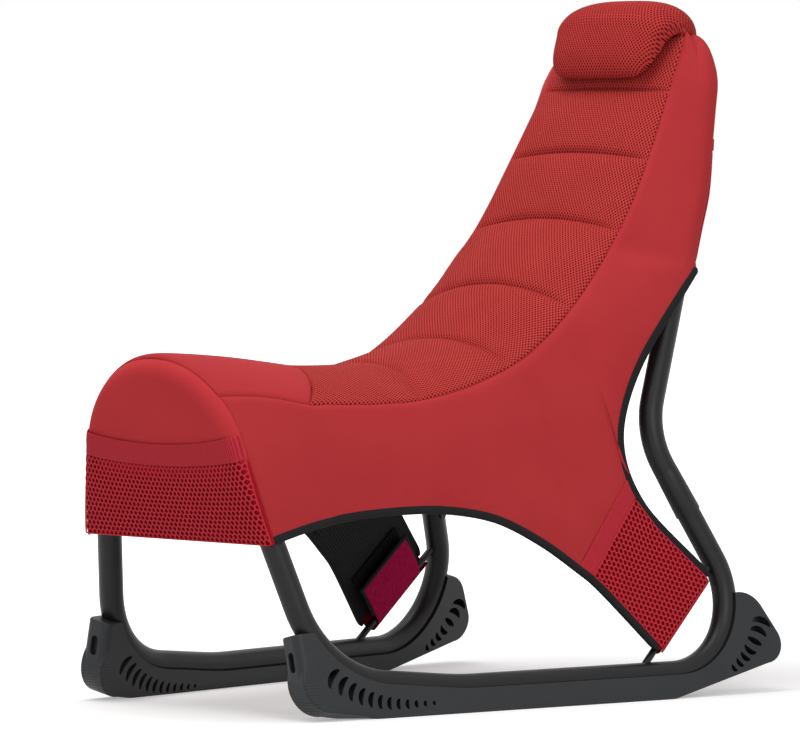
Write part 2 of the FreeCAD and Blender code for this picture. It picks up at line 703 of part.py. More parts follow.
def back_square(v, reach, n):
    """Point square to the back tube, behind its centre by reach (ahead if negative)."""
    lean = math.radians(BACK_LEAN if v < NECK_BEND_V else NECK_LEAN)
    return side(back_u(v) + reach*math.cos(lean), v - reach*math.sin(lean), n)


def side_panel():
    """Smooth side panel, stretched from the pad's edge to the bound edges and round the back tube."""
    lower, rear = bound_edges(COVER_GAP)
    edges = [station[2] for station in saddle_stations()[:3]] + [pad_point(t)[0] for t in PANEL_PAD_T]
    near_hoop = [a + (b - a)*PANEL_HOOP_SHARE for a, b in zip(lower[0], lower[1])]
    near_mesh = [(a + b)/2 for a, b in zip(lower[1], lower[2])]
    seam_low, seam_high = seam_ends(lower, rear)
    middle_seam = [(a + b)/2 for a, b in zip(seam_low, seam_high)]
    outer = [lower[0], near_hoop, lower[1], near_mesh] + lower[2:WING_LOW_INDEX + 1]
    outer += [middle_seam, seam_high] + rear[WING_REAR_INDEX + 1:]
    step = Vec(SEAM_GAP + PANEL_T, 0, 0)
    stations = []
    for edge, end in zip(edges, outer):
        place = side(*end)
        stations.append((edge + step, (edge + step + place)*0.5 + N_AXIS*PANEL_SWELL, place))
    stations[0] = tuple(point - F_AXIS*COVER_GAP for point in stations[0])
    wrap = TUBE_R + 2*COVER_GAP + PANEL_T
    start, middle, end = stations[-1]
    stations[-1] = (start, back_square(outer[-1][1], -2*PANEL_TURN, wrap), end)
    for t, v in PANEL_BACK:
        edge = pad_point(t)[0] + step
        stations.append((edge, back_square(v, PANEL_TURN, wrap), back_square(v, wrap, 3*COVER_GAP)))
    moves = [N_AXIS*-PANEL_T]*(len(stations) - 1) + [inward(*stations[-1])*PANEL_T]
    return strip(stations, moves)


def wing_band():
    near_low, near_high = wing_cut(SEAM_GAP)
    far_low, far_high = wing_cut(BAND_WIDTH - SEAM_GAP)
    return wing_plate([near_low, near_high, far_high, far_low], ELASTIC_T)


def wing_plate(corners, thick, top=None):
    """Flat plate on the wing: its outer face stands at top, or at the side panel's outer face."""
    level = LOWER_EDGE[WING_LOW_INDEX][2] if top is None else top
    points = [side(u, v, level - thick) for u, v in corners]
    return Part.Face(Part.makePolygon(points + points[:1])).extrude(N_AXIS*thick)


def wing_outline(start, end_reach):
    """Outline of the wing between its bindings, from start below the seam to a reach beyond the rod."""
    lower, rear = bound_edges(SEAM_GAP)
    low, high = wing_cut(start)
    along = between(ROD_LOW, ROD_HIGH)
    length = math.hypot(*along)
    end = (ROD_LOW[0] + along[1]/length*end_reach, ROD_LOW[1] - along[0]/length*end_reach)
    a, b = lower[WING_LOW_INDEX + 1], rear[WING_REAR_INDEX - 1]
    end_low = meet(a, between(a, lower[WING_LOW_INDEX + 2]), end, along)
    end_high = meet(b, between(b, rear[WING_REAR_INDEX - 2]), end, along)
    corner = rear[WING_REAR_INDEX][:2]
    bend = [corner] if high[1] > corner[1] + SEAM_GAP else []
    return [low, a[:2], end_low, end_high, b[:2]] + bend + [high]


def wing_net():
    level = LOWER_EDGE[WING_LOW_INDEX][2] - NET_T
    outline = wing_outline(BAND_WIDTH, ROD_D/2 + FLAP_TUBE_T + NET_T)

    def place(u, v):
        return side(u, v, level)

    return net_face(outline, place, WING_NET_PITCH).extrude(N_AXIS*NET_T)


def wing_lining():
    level = LOWER_EDGE[WING_LOW_INDEX][2] - ELASTIC_T - SEAM_GAP
    outline = wing_outline(SEAM_GAP, -(ROD_D/2 + FLAP_TUBE_T + 2*SEAM_GAP))
    return wing_plate(outline, LINING_T, level)


def rod_frame():
    """Middle of the rod, its direction, and the direction from it up the wing."""
    low, high = side(*ROD_LOW), side(*ROD_HIGH)
    along = (high - low).normalize()
    return (low + high)*0.5, along, N_AXIS.cross(along)


def flap_plate(near, far, thick, level):
    """Plate beside the rod on the wing's inner side, between two distances from it."""
    middle, along, up = rod_frame()
    base = middle + N_AXIS*level
    half = along*(FLAP_LENGTH/2)
    points = [base + up*near - half, base + up*near + half, base + up*far + half, base + up*far - half]
    return Part.Face(Part.makePolygon(points + points[:1])).extrude(N_AXIS*-thick)


def flap_level():
    return LOWER_EDGE[WING_LOW_INDEX][2] - ELASTIC_T - LINING_T - HOOK_T - 2*SEAM_GAP - SEAM_GAP


def wing_flap():
    """Flap that folds round the rod and closes on the hook strip inside the wing."""
    middle, along, up = rod_frame()
    start, end = middle - along*(FLAP_LENGTH/2), middle + along*(FLAP_LENGTH/2)
    bore = ROD_D + 2*HINGE_GAP
    loop = rod(start, end, bore + 2*FLAP_TUBE_T)
    tongue = flap_plate(0, FLAP_WIDTH, FLAP_T, flap_level())
    return loop.fuse(tongue).cut(rod(start - along, end + along, bore)).removeSplitter()


def hook_strip():
    level = LOWER_EDGE[WING_LOW_INDEX][2] - ELASTIC_T - LINING_T - 2*SEAM_GAP
    far = FLAP_WIDTH + HOOK_SHOW
    return flap_plate(far - HOOK_WIDTH, far, HOOK_T, level)


BACK_REACH = TUBE_R + COVER_GAP + PANEL_T


def back_panel():
    """Cloth over the rear of the back hoop, between the side panels."""
    sections = []
    for v in BACK_ROWS_V:
        edge = back_square(v, BACK_REACH, -PANEL_T)
        ahead = Vec(0, -BACK_T, 0)
        points = [mirrored(edge), edge, edge + ahead, mirrored(edge) + ahead, mirrored(edge)]
        sections.append(Part.makePolygon(points))
    return Part.makeLoft(sections, True, True)


def back_net():
    """Flat pocket net behind the back panel."""
    foot = back_square(BACK_POCKET_V, BACK_REACH, -PANEL_T)
    neck = back_square(NECK_BEND_V - 1.0, BACK_REACH, -PANEL_T)
    up = (neck - foot).normalize()
    head = foot + up*BACK_POCKET_H
    rise = Vec(0, up.y, up.z)
    length = rise.Length*BACK_POCKET_H
    rise.normalize()
    ahead = Vec(1, 0, 0).cross(rise)
    base = Vec(0, foot.y, foot.z) - ahead*POCKET_LIP

    def place(x, w):
        return base + Vec(x, 0, 0) + rise*w

    outline = [(-foot.x, 0.0), (foot.x, 0.0), (head.x, length), (-head.x, length)]
    return net_face(outline, place, BACK_NET_PITCH).extrude(ahead*-NET_T)


def top_cap():
    """Cloth over the top of the back hoop, from shoulder to shoulder."""
    corner = BACK_CORNERS[-1]
    down = (BACK_CORNERS[-2] - corner).normalize()
    half_turn = (math.pi - down.getAngle(Vec(-1, 0, 0)))/2
    start = corner + down*(TOP_BEND_R*math.tan(half_turn) + 1.0)
    path = bent_path([start, corner, mirrored(corner), mirrored(start)], [TOP_BEND_R, TOP_BEND_R])
    rear = Vec(1, 0, 0).cross(down).normalize()
    out = rear.cross(down).normalize()
    if out.x < 0:
        out = out*-1

    def ring(radius, turn):
        angle = math.radians(turn)
        return start + out*(radius*math.cos(angle)) + rear*(radius*math.sin(angle))

    inner, outer, half = TUBE_R + COVER_GAP, TUBE_R + COVER_GAP + BACK_T, CAP_TURN/2
    section = Part.Wire([
        Part.Arc(ring(outer, -half), ring(outer, 0), ring(outer, half)).toShape(),
        Part.LineSegment(ring(outer, half), ring(inner, half)).toShape(),
        Part.Arc(ring(inner, half), ring(inner, 0), ring(inner, -half)).toShape(),
        Part.LineSegment(ring(inner, -half), ring(outer, -half)).toShape(),
    ])
    return path.makePipeShell([section], True, False)


LIFT_AXIS = Vec(0, tan(PILLOW_LIFT_LEAN), 1).normalize()


def pillow_corners():
    """Inner corners of the pillow: low at the front, over the pad's top, over the cap, behind the cap."""
    edge, along, out, crown, bow, thick = pad_point(PILLOW_LOW_T)
    low = Vec(0, edge.y, edge.z) + out*(crown + QUILT_PUFF + PILLOW_GAP)
    edge, along, out, crown, bow, thick = pad_point(len(PAD_EDGE) - 1)
    high = Vec(0, edge.y, edge.z) + out*(crown + QUILT_PUFF + PILLOW_GAP) + along*PILLOW_GAP
    bar = BACK_CORNERS[-1]
    reach = BACK_REACH + PILLOW_GAP
    behind = Vec(0, bar.y, bar.z) + Vec(0, LIFT_AXIS.z, -LIFT_AXIS.y)*reach + LIFT_AXIS*(BACK_REACH + SEAM_GAP)
    over = behind + Vec(0, -PILLOW_GAP, 2*PILLOW_GAP)
    return low, high, over, behind, out


def pillow_section(x, fill):
    """Closed outline of the pillow at x; fill is 1 in the middle and falls towards the sewn ends."""
    low, high, over, behind, out = pillow_corners()
    outer_low = low + out*(PILLOW_EDGE*fill)
    front_mid = (low + high)*0.5 + out*(PILLOW_DEPTH*fill)
    front_top = high + Vec(0, -PILLOW_NOSE*fill, PILLOW_SHOULDER*fill)
    top_mid = (high + over)*0.5 + Vec(0, 0, PILLOW_RISE*fill)
    rear_top = over + Vec(0, PILLOW_GAP*fill, PILLOW_HEEL*fill)
    rear_low = behind + Vec(0, PILLOW_FLAP_T, 0)
    wire = Part.Wire([
        Part.LineSegment(low, outer_low).toShape(),
        Part.Arc(outer_low, front_mid, front_top).toShape(),
        Part.Arc(front_top, top_mid, rear_top).toShape(),
        Part.LineSegment(rear_top, rear_low).toShape(),
        Part.LineSegment(rear_low, behind).toShape(),
        Part.LineSegment(behind, over).toShape(),
        Part.LineSegment(over, high).toShape(),
        Part.LineSegment(high, low).toShape(),
    ])
    wire.translate(Vec(x, 0, 0))
    return wire


def head_pillow():
    """Saddle pad over the top of the back, full in front and drawn in at its ends."""
    shares = (-1.0, -0.93, -0.75, -0.4, 0.0, 0.4, 0.75, 0.93, 1.0)
    sections = [pillow_section(PILLOW_HALF_W*s, (1.1 - abs(s)**3.0)**0.5) for s in shares]
    return Part.makeLoft(sections, True, True)


def pillow_flap():
    """Flap of the pillow that hangs behind the back."""
    behind = pillow_corners()[3] - LIFT_AXIS*SEAM_GAP
    back = Vec(0, PILLOW_FLAP_T, 0)
    low = behind - LIFT_AXIS*PILLOW_FLAP_LENGTH
    face = Part.Face(Part.makePolygon([behind, behind + back, low + back, low, behind]))
    face.translate(Vec(-PILLOW_FLAP_HALF_W, 0, 0))
    return face.extrude(Vec(2*PILLOW_FLAP_HALF_W, 0, 0))


PIECES = {"front_hoop": front_hoop(), "back_hoop": back_hoop()}
SIDE_PIECES = {
    "side_tube": side_tube(),
    "leg_sleeve": joint_sleeve(LEG_TOP, LEG_AXIS),
    "upright_sleeve": joint_sleeve(UPRIGHT_TOP, UPRIGHT_AXIS),
    "wing_rod": wing_rod(),
    "sole": sole(),
    "side_panel": side_panel(),
    "lower_binding": binding(LOWER_EDGE),
    "rear_binding": binding(REAR_EDGE),
    "wing_band": wing_band(),
    "wing_net": wing_net(),
    "wing_lining": wing_lining(),
    "hook_strip": hook_strip(),
    "wing_flap": wing_flap(),
}
PIECES.update({
    "joint_screws": both_sides(Part.makeCompound(joint_screws(JOINT_SCREW_D, True))),
    "sole_screws": both_sides(Part.makeCompound(sole_screws(SOLE_SCREW_D, True))),
    "seat_back_pad": pad(),
    "saddle_panel": saddle(),
    "front_panel": front_panel(),
    "front_pocket_net": front_net(),
    "front_pocket_band": front_band(),
    "back_panel": back_panel(),
    "back_pocket_net": back_net(),
    "top_cap": top_cap(),
    "head_pillow": head_pillow(),
    "pillow_flap": pillow_flap(),
})
for name, shape in SIDE_PIECES.items():
    PIECES["left_" + name] = shape
    PIECES["right_" + name] = shape.mirror(Vec(0, 0, 0), Vec(1, 0, 0))

# The origin stands on the floor under the middle of the chair's length.
front_y = PIECES["front_panel"].optimalBoundingBox(False).YMin
rear_y = PIECES["head_pillow"].optimalBoundingBox(False).YMax
TO_ORIGIN = Vec(0, -(front_y + rear_y)/2, 0)

os.makedirs("parts", exist_ok=True)
for name, shape in PIECES.items():
    shape.translate(TO_ORIGIN)
    shape.exportStep("parts/" + name + ".step")
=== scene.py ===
import math

import bpy
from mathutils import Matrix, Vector


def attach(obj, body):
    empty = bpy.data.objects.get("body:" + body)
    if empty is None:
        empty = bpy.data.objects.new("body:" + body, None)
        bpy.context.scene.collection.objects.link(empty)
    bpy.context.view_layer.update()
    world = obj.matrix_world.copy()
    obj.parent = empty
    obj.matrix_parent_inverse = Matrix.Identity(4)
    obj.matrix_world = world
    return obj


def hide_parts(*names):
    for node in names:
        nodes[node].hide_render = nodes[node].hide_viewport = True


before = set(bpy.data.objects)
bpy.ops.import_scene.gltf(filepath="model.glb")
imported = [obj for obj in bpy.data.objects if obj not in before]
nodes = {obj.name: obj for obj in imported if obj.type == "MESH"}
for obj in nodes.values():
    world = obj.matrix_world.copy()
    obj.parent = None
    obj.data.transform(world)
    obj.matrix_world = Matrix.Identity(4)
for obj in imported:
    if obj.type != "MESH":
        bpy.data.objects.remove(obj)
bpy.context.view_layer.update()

bpy.ops.object.select_all(action="DESELECT")


# Steel frame: two bent side tubes, a front hoop and a back hoop, plugged together on inner sleeves, with
# a thin rod welded across each rear bend. Mild steel with a satin black powder coat, which keeps a faint
# orange-peel skin from the oven.
def linear(code):
    """Linear colour from an sRGB hex code."""
    parts = [int(code[i:i + 2], 16) / 255 for i in (1, 3, 5)]
    return [c / 12.92 if c <= 0.04045 else ((c + 0.055) / 1.055) ** 2.4 for c in parts] + [1.0]


def add(owner, kind, inputs=None, **settings):
    """One node with its settings; an input is a value, or the socket that it is linked from."""
    node = owner.node_tree.nodes.new(kind)
    for key, value in settings.items():
        setattr(node, key, value)
    for key, value in (inputs or {}).items():
        if isinstance(value, bpy.types.NodeSocket):
            owner.node_tree.links.new(value, node.inputs[key])
        else:
            node.inputs[key].default_value = value
    return node


def finish_named(name, **values):
    """New material; the values are those of its Principled shader that are the same all over it."""
    material = bpy.data.materials.new(name)
    material.use_nodes = True
    for key, value in values.items():
        material.node_tree.nodes["Principled BSDF"].inputs[key.replace("_", " ")].default_value = value
    return material


def feed(material, **sockets):
    """Links to the inputs of a material's Principled shader."""
    shader = material.node_tree.nodes["Principled BSDF"]
    for key, socket in sockets.items():
        material.node_tree.links.new(socket, shader.inputs[key.replace("_", " ")])


def lies_at(material):
    return add(material, "ShaderNodeTexCoord").outputs["Object"]


def noise(material, size, detail):
    """Noise on Object coordinates, with features of this size in metres."""
    inputs = {"Vector": lies_at(material), "Scale": 1 / size, "Detail": detail}
    return add(material, "ShaderNodeTexNoise", inputs).outputs["Fac"]


def mix(material, share, low, high):
    """Colour between two others, each a hex code or a socket."""
    low, high = [linear(end) if isinstance(end, str) else end for end in (low, high)]
    return add(material, "ShaderNodeMix", {0: share, 6: low, 7: high}, data_type="RGBA").outputs[2]


def bump(material, height, strength, distance, **under):
    """Relief from a height, on top of the relief that is given as Normal."""
    inputs = {"Height": height, "Strength": strength, "Distance": distance, **under}
    return add(material, "ShaderNodeBump", inputs).outputs["Normal"]


def wear(piece, material):
    piece.data.materials.clear()
    piece.data.materials.append(material)


def belongs(piece, node=None, body="chair"):
    """Ties a piece to its body, and hides the node whose place it takes."""
    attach(piece, body)
    if node:
        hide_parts(node)


SIDES = (("left", 1), ("right", -1))
powder_coat = finish_named("powder_coated_steel", Roughness=0.4, Specular_IOR_Level=0.3)
feed(powder_coat, Base_Color=mix(powder_coat, noise(powder_coat, 0.07, 3.0), "#0f0f10", "#151516"),
     Normal=bump(powder_coat, noise(powder_coat, 0.0012, 2.0), 0.12, 0.0003))
for name in ("front_hoop", "back_hoop", "left_side_tube", "right_side_tube", "left_wing_rod", "right_wing_rod"):
    wear(nodes[name], powder_coat)
# The end of each upright is pressed a little wider where it takes the sleeve, which shows as a small step.
JOINT, UPRIGHT = Vector((0.26204, 0.29644, 0.25379)), Vector((-0.2538, -0.4104, 0.8757))
FLARE_LENGTH, FLARE_R, TUBE_R = 0.070, 0.0186, 0.0170
FLARE_LIFT, FLARE_CLEAR = 0.0006, 0.00005           # it stands off the end of the tube and off its skin
RIM_R = 0.0005
for name, mirror in SIDES:
    bpy.ops.object.select_all(action="DESELECT")
    flip = Vector((mirror, 1, 1))
    bpy.ops.mesh.primitive_cone_add(vertices=64, radius1=FLARE_R, radius2=TUBE_R + FLARE_CLEAR, depth=FLARE_LENGTH,
                                    location=(JOINT + UPRIGHT * (FLARE_LENGTH / 2 + FLARE_LIFT)) * flip,
                                    rotation=(UPRIGHT * flip).to_track_quat("Z", "Y").to_euler())
    flare = bpy.context.object
    flare.name = name + "_upright_flare"
    bpy.ops.object.transform_apply(location=True, rotation=True, scale=True)
    rim = flare.modifiers.new("rim", "BEVEL")
    rim.width, rim.segments, rim.limit_method = RIM_R, 2, "ANGLE"
    bpy.ops.object.modifier_apply(modifier=rim.name)
    bpy.ops.object.shade_smooth_by_angle(angle=math.radians(35))
    wear(flare, powder_coat)
    belongs(flare)


# Inner sleeves and screws of the tube joints, and the screws of the soles: drawn steel, and screws with
# a black oxide finish that shows a little metal at the edges.
bare_steel = finish_named("drawn_steel", Metallic=1.0, Roughness=0.38)
feed(bare_steel, Base_Color=mix(bare_steel, noise(bare_steel, 0.004, 4.0), "#85888c", "#a2a5a8"))
black_oxide = finish_named("black_oxide_steel", Metallic=0.7, Roughness=0.45)
feed(black_oxide, Base_Color=mix(black_oxide, noise(black_oxide, 0.003, 3.0), "#161617", "#2d2d2f"))
for part in ("left_leg_sleeve", "right_leg_sleeve", "left_upright_sleeve", "right_upright_sleeve"):
    wear(nodes[part], bare_steel)
for part in ("joint_screws", "sole_screws"):
    wear(nodes[part], black_oxide)


# Rocker soles: one long moulding under each rail, charcoal polypropylene with a fine spark-eroded grain,
# ribbed across the toe where it meets the floor. Screwed to the rail from below.
TOE_RIB = 0.0042                      # spacing of the toe's ribs
TOE_BACK, TOE_TOP = (-0.385, -0.395), (0.056, 0.05)      # the ribs fade in between these, along Y and along Z


def calc(owner, operation, *values):
    return add(owner, "ShaderNodeMath", dict(enumerate(values)), operation=operation).outputs[0]


def ramp(material, value, start, end, **settings):
    """From 0 to 1 as a value goes from start to end."""
    return add(material, "ShaderNodeMapRange", {0: value, 1: start, 2: end, 3: 0.0, 4: 1.0}, **settings).outputs[0]


def waves(material, place, lie, wave="SINE"):
    """Waves over a surface: lie is their number per metre along each axis."""
    turns = tuple(2 * math.pi * value for value in lie)
    dot = add(material, "ShaderNodeVectorMath", {0: place, 1: turns}, operation="DOT_PRODUCT")
    return calc(material, wave, dot.outputs["Value"])


def axes(material, place):
    return add(material, "ShaderNodeSeparateXYZ", {0: place}).outputs


sole_plastic = finish_named("moulded_polypropylene", Roughness=0.46, Specular_IOR_Level=0.32)
place = lies_at(sole_plastic)
spot = axes(sole_plastic, place)
toe = calc(sole_plastic, "MULTIPLY", ramp(sole_plastic, spot["Y"], *TOE_BACK), ramp(sole_plastic, spot["Z"], *TOE_TOP))
ribs = calc(sole_plastic, "MULTIPLY", waves(sole_plastic, place, (0, 0, 1 / TOE_RIB), "COSINE"), toe)
grain = bump(sole_plastic, noise(sole_plastic, 0.0011, 3.0), 0.18, 0.0004)
feed(sole_plastic, Base_Color=mix(sole_plastic, noise(sole_plastic, 0.05, 3.0), "#1f2123", "#282a2d"),
     Normal=bump(sole_plastic, ribs, 0.8, 0.0007, Normal=grain))
for part in ("left_sole", "right_sole"):
    wear(nodes[part], sole_plastic)


# Seat and back pad: foam under a knitted spacer mesh, quilted into channels by seams across it that bow
# upwards, crowned from side to side and sewn to the side panels along both edges.
MM = 0.001
SIDE_FOOT = Vector((0.2755, -0.01758, 0.0))
SPLAY, LEAN = math.radians(7.9), math.radians(12.55)
ALONG = Vector((math.sin(SPLAY), math.cos(SPLAY), 0.0))
UP = Vector((-math.sin(LEAN) * math.cos(SPLAY), math.sin(LEAN) * math.sin(SPLAY), math.cos(LEAN)))
OUT = ALONG.cross(UP)
# Place on the leaning side frame (along, up), inset, crown, bow of the seam, thickness, all in mm
PAD_EDGE = (
    (-326.0, 433.0, -8.0, 47.0, 82.0, 22.0), (-124.5, 437.0, 10.0, 40.0, 52.0, 28.0),
    (47.0, 483.0, 24.0, 28.0, 22.0, 30.0), (168.0, 563.0, 25.0, 29.0, 15.0, 30.0),
    (269.0, 672.0, 22.0, 13.0, 12.0, 28.0), (335.0, 775.0, 16.0, 12.0, 5.0, 24.0),
    (389.0, 876.0, 14.0, 6.0, 0.0, 14.0), (428.0, 950.0, 12.0, 4.0, 0.0, 5.0),
)
PAD_LAST = len(PAD_EDGE) - 1
RUN_REACH = 0.05                          # the pad's direction is taken this far ahead and behind, in rows


def side(u, v, n=0.0):
    """Point on the left side frame: u back along the rail, v up the frame, n outwards, in mm."""
    return SIDE_FOOT + ALONG * (u * MM) + UP * (v * MM) + OUT * (n * MM)


def smooth_row(rows, t):
    """Smooth curve through the rows of a table: t = 0 is the first row, 1 the second and so on."""
    i = min(int(t), len(rows) - 2)
    f = t - i
    before, after = rows[max(i - 1, 0)], rows[min(i + 2, len(rows) - 1)]
    row = []
    for a, b, c, d in zip(before, rows[i], rows[i + 1], after):
        slope_b, slope_c = (c - a) / 2, (d - b) / 2
        row.append(b + slope_b * f + (3 * (c - b) - 2 * slope_b - slope_c) * f ** 2
                   + (2 * (b - c) + slope_b + slope_c) * f ** 3)
    return row


def pad_point(t):
    u, v, inset, crown, bow, thick = smooth_row(PAD_EDGE, t)
    ahead = smooth_row(PAD_EDGE, min(t + RUN_REACH, PAD_LAST))
    behind = smooth_row(PAD_EDGE, max(t - RUN_REACH, 0.0))
    run = side(ahead[0], ahead[1], -ahead[2]) - side(behind[0], behind[1], -behind[2])
    run.x = 0.0
    run.normalize()
    return side(u, v, -inset), run, Vector((1, 0, 0)).cross(run), crown * MM, bow * MM, thick


def cloth_grid(name, columns, rows, place_at, measure):
    """Grid whose points are moved to place_at(s, t), with measure(s, t), in metres, as its UV map."""
    bpy.ops.object.select_all(action="DESELECT")
    bpy.ops.mesh.primitive_grid_add(x_subdivisions=columns, y_subdivisions=rows, size=2)
    piece = bpy.context.object
    piece.name = name
    mesh = piece.data
    spots = [((v.co.x + 1) / 2, (v.co.y + 1) / 2) for v in mesh.vertices]
    for vertex, spot in zip(mesh.vertices, spots):
        vertex.co = place_at(*spot)
    for loop in mesh.loops:
        mesh.uv_layers[0].data[loop.index].uv = measure(*spots[loop.vertex_index])
    return piece


def apply_all(piece):
    bpy.ops.object.select_all(action="DESELECT")
    bpy.context.view_layer.objects.active = piece
    piece.select_set(True)
    for modifier in list(piece.modifiers):
        bpy.ops.object.modifier_apply(modifier=modifier.name)
    bpy.ops.object.shade_smooth()


def thicken(piece, thick, rounds=1, group=None):
    """Gives a sheet its thickness on the inner side and rounds it."""
    wall = piece.modifiers.new("wall", "SOLIDIFY")
    wall.thickness, wall.offset = thick, -1.0
    if group:
        wall.vertex_group = group
    soft = piece.modifiers.new("soft", "SUBSURF")
    soft.levels = soft.render_levels = rounds
    apply_all(piece)


RUN_STEPS, RUN_STEP = 40, 0.004           # the pad's length is summed in so many steps a row, of about this length
pad_run = [0.0]
for i in range(PAD_LAST * RUN_STEPS):
    a, b = pad_point(i / RUN_STEPS)[0], pad_point((i + 1) / RUN_STEPS)[0]
    pad_run.append(pad_run[-1] + math.hypot(b.y - a.y, b.z - a.z))
PAD_PUFF, PAD_SWELL = 0.0065, 0.0045      # puff of each channel, and the part of it that reaches the edges
SEAT_PUFF, SEAT_PUFF_ROWS = 0.2, 3.0      # share of it at the seat's front, and the rows over which it grows
SEAM_DEPTH, SEAM_WIDTH, CHANNEL = 0.0028, 0.0050, 0.115      # CHANNEL is the usual length of a channel
CROWDING = 0.11                           # how much closer the rows lie beside the seams
EDGE_SHARE = 0.985                        # share of the half width up to the edge that is turned in
PAD_OVER, PAD_TURN_IN = 0.0010, 0.007     # the pad's edge lies this far over the panels, and is turned down
PAD_DEPTH, PAD_COLUMNS, PAD_ROWS = 0.030, 58, 168
CORNER_RISE, CORNER_FROM = Vector((0.0, 0.004, 0.016)), 6.3


def corner_rise(q):
    """The corners of the cover stand up over the shoulders of the back hoop."""
    return CORNER_RISE * max(0.0, (q - CORNER_FROM) / (PAD_LAST - CORNER_FROM)) ** 2


def pad_t(t):
    """Closer rows beside the seams."""
    q = t * PAD_LAST
    f = q - int(q)
    return int(q) + f - CROWDING * math.sin(2 * math.pi * f)


def across(s):
    """Share of the half width, from -1 to 1, and how far the edge is turned in, from 0 to 1."""
    q = 2 * s - 1
    return max(-1.0, min(1.0, q / EDGE_SHARE)), max(0.0, (abs(q) - EDGE_SHARE) / (1 - EDGE_SHARE))


def pad_place(s, t):
    q = pad_t(t)
    f = q - int(q)
    edge, run, out, crown, bow = pad_point(q)[:5]
    w, turned_in = across(s)
    share = min(1.0, SEAT_PUFF + (1 - SEAT_PUFF) * q / SEAT_PUFF_ROWS)
    hump = share * math.sqrt(max(0.0, 4 * f * (1 - f)))
    span = min(f, 1 - f) * CHANNEL
    crease = SEAM_DEPTH * (2 - share) * math.exp(-(span / SEAM_WIDTH) ** 2) * (1 - abs(w) ** 12)
    sag = crown + PAD_PUFF * hump
    half = edge.x + PAD_OVER
    turn = 2 * math.atan(sag / half)
    radius = half / math.sin(turn)
    lift = radius * (math.cos(turn * w) - math.cos(turn)) + PAD_SWELL * hump * (1 - w ** 8) - crease
    point = Vector((radius * math.sin(turn * w), edge.y, edge.z)) + out * lift + run * (bow * (1 - w * w))
    return point - out * (PAD_TURN_IN * turned_in) + corner_rise(q) * w ** 4


def pad_measure(s, t):
    q = pad_t(t)
    step = q * RUN_STEPS
    return (2 * s - 1) * pad_point(q)[0].x * 1.04, pad_run[min(len(pad_run) - 1, int(step))] + step % 1 * RUN_STEP


pad = cloth_grid("quilted_pad", PAD_COLUMNS, PAD_ROWS, pad_place, pad_measure)
depth = pad.vertex_groups.new(name="depth")
for vertex in pad.data.vertices:
    row = min(0.9999, vertex.index // (PAD_COLUMNS + 1) / PAD_ROWS)
    depth.add([vertex.index], pad_point(pad_t(row))[5] * MM / PAD_DEPTH, "REPLACE")
thicken(pad, PAD_DEPTH, 1, "depth")
# Spacer mesh, knitted polyester: open cells in staggered rows, painted dark inside as painted shade.
CELL, CELL_ROWS = 0.0054, 0.0074
CELL_OPEN = (-0.1, 1.3)                   # heights of the pattern between which a cell opens


def on_cloth(material):
    return add(material, "ShaderNodeUVMap", uv_map="UVMap").outputs["UV"]


def knit(material, thread, shade, hole_shade):
    """Staggered open cells on the piece's UV map, in metres."""
    place = on_cloth(material)
    both = [waves(material, place, (1 / CELL, slope / CELL_ROWS, 0), "COSINE") for slope in (1, -1)]
    gap = ramp(material, calc(material, "ADD", *both), *CELL_OPEN, interpolation_type="SMOOTHSTEP")
    base = mix(material, noise(material, 0.045, 3.0), shade, thread)
    # The open cells are painted in the darkest colour, as painted shade inside them.
    feed(material, Base_Color=mix(material, gap, base, hole_shade),
         Normal=bump(material, calc(material, "SUBTRACT", 1.0, gap), 0.7, 0.0011))


spacer_mesh = finish_named("knitted_spacer_mesh", Roughness=0.82, Specular_IOR_Level=0.06)
knit(spacer_mesh, "#c0413b", "#b53835", "#5e0a10")
wear(pad, spacer_mesh)
belongs(pad, "seat_back_pad")


# Saddle panel: smooth polyester stretch cloth, pulled over the front hoop from the front arch to the
# quilted mesh and sewn to both side panels.
# Each row: half width, height and place of the edge, then of the crest, in mm
SADDLE = (
    (121.0, -470.3, 438.9, -482.8, 487.0), (126.0, -448.2, 439.3, -461.8, 492.3),
    (133.5, -389.8, 436.0, -354.4, 484.9), (144.73, -327.0, 424.4, -245.3, 471.4),
)


SADDLE_LAST = len(SADDLE) - 1
UNDER_PAD, UNDER_ENDS = 0.04, 0.05        # rows by which it goes on under the pad, and more of them at its ends
FRONT_SHARE, REAR_SHARE = 0.04, 0.985     # its front and rear edges are turned in before and after these
TURN_IN, REAR_TURN_IN = 0.003, 1.7        # by this much, and at the rear by this many times as much


def saddle_place(s, t):
    w, turned_in = across(s)
    row = smooth_row(SADDLE, t * (SADDLE_LAST + UNDER_PAD + UNDER_ENDS * w ** 4))
    half, y, z, top_y, top_z = [value * MM for value in row]
    turned_in = max(turned_in, 1 - t / FRONT_SHARE, REAR_TURN_IN * (t - REAR_SHARE) / (1 - REAR_SHARE))
    turn = 2 * math.atan((top_z - z) / half)
    radius = half / math.sin(turn)
    lift = (math.cos(turn * w) - math.cos(turn)) / (1 - math.cos(turn))
    return Vector((radius * math.sin(turn * w), y + (top_y - y) * lift,
                   z + (top_z - z) * lift - TURN_IN * turned_in))


saddle = cloth_grid("saddle_panel_cloth", 40, 32, saddle_place, lambda s, t: (0.3 * s, 0.175 * t))
thicken(saddle, 0.005)
# Smooth warp-knit polyester with a soft sheen; its real stitches are finer than a pixel, so the weave is
# drawn at 1.8 mm to show at all.
WEAVE_LIE = (0.3, 0.7, 0.7)


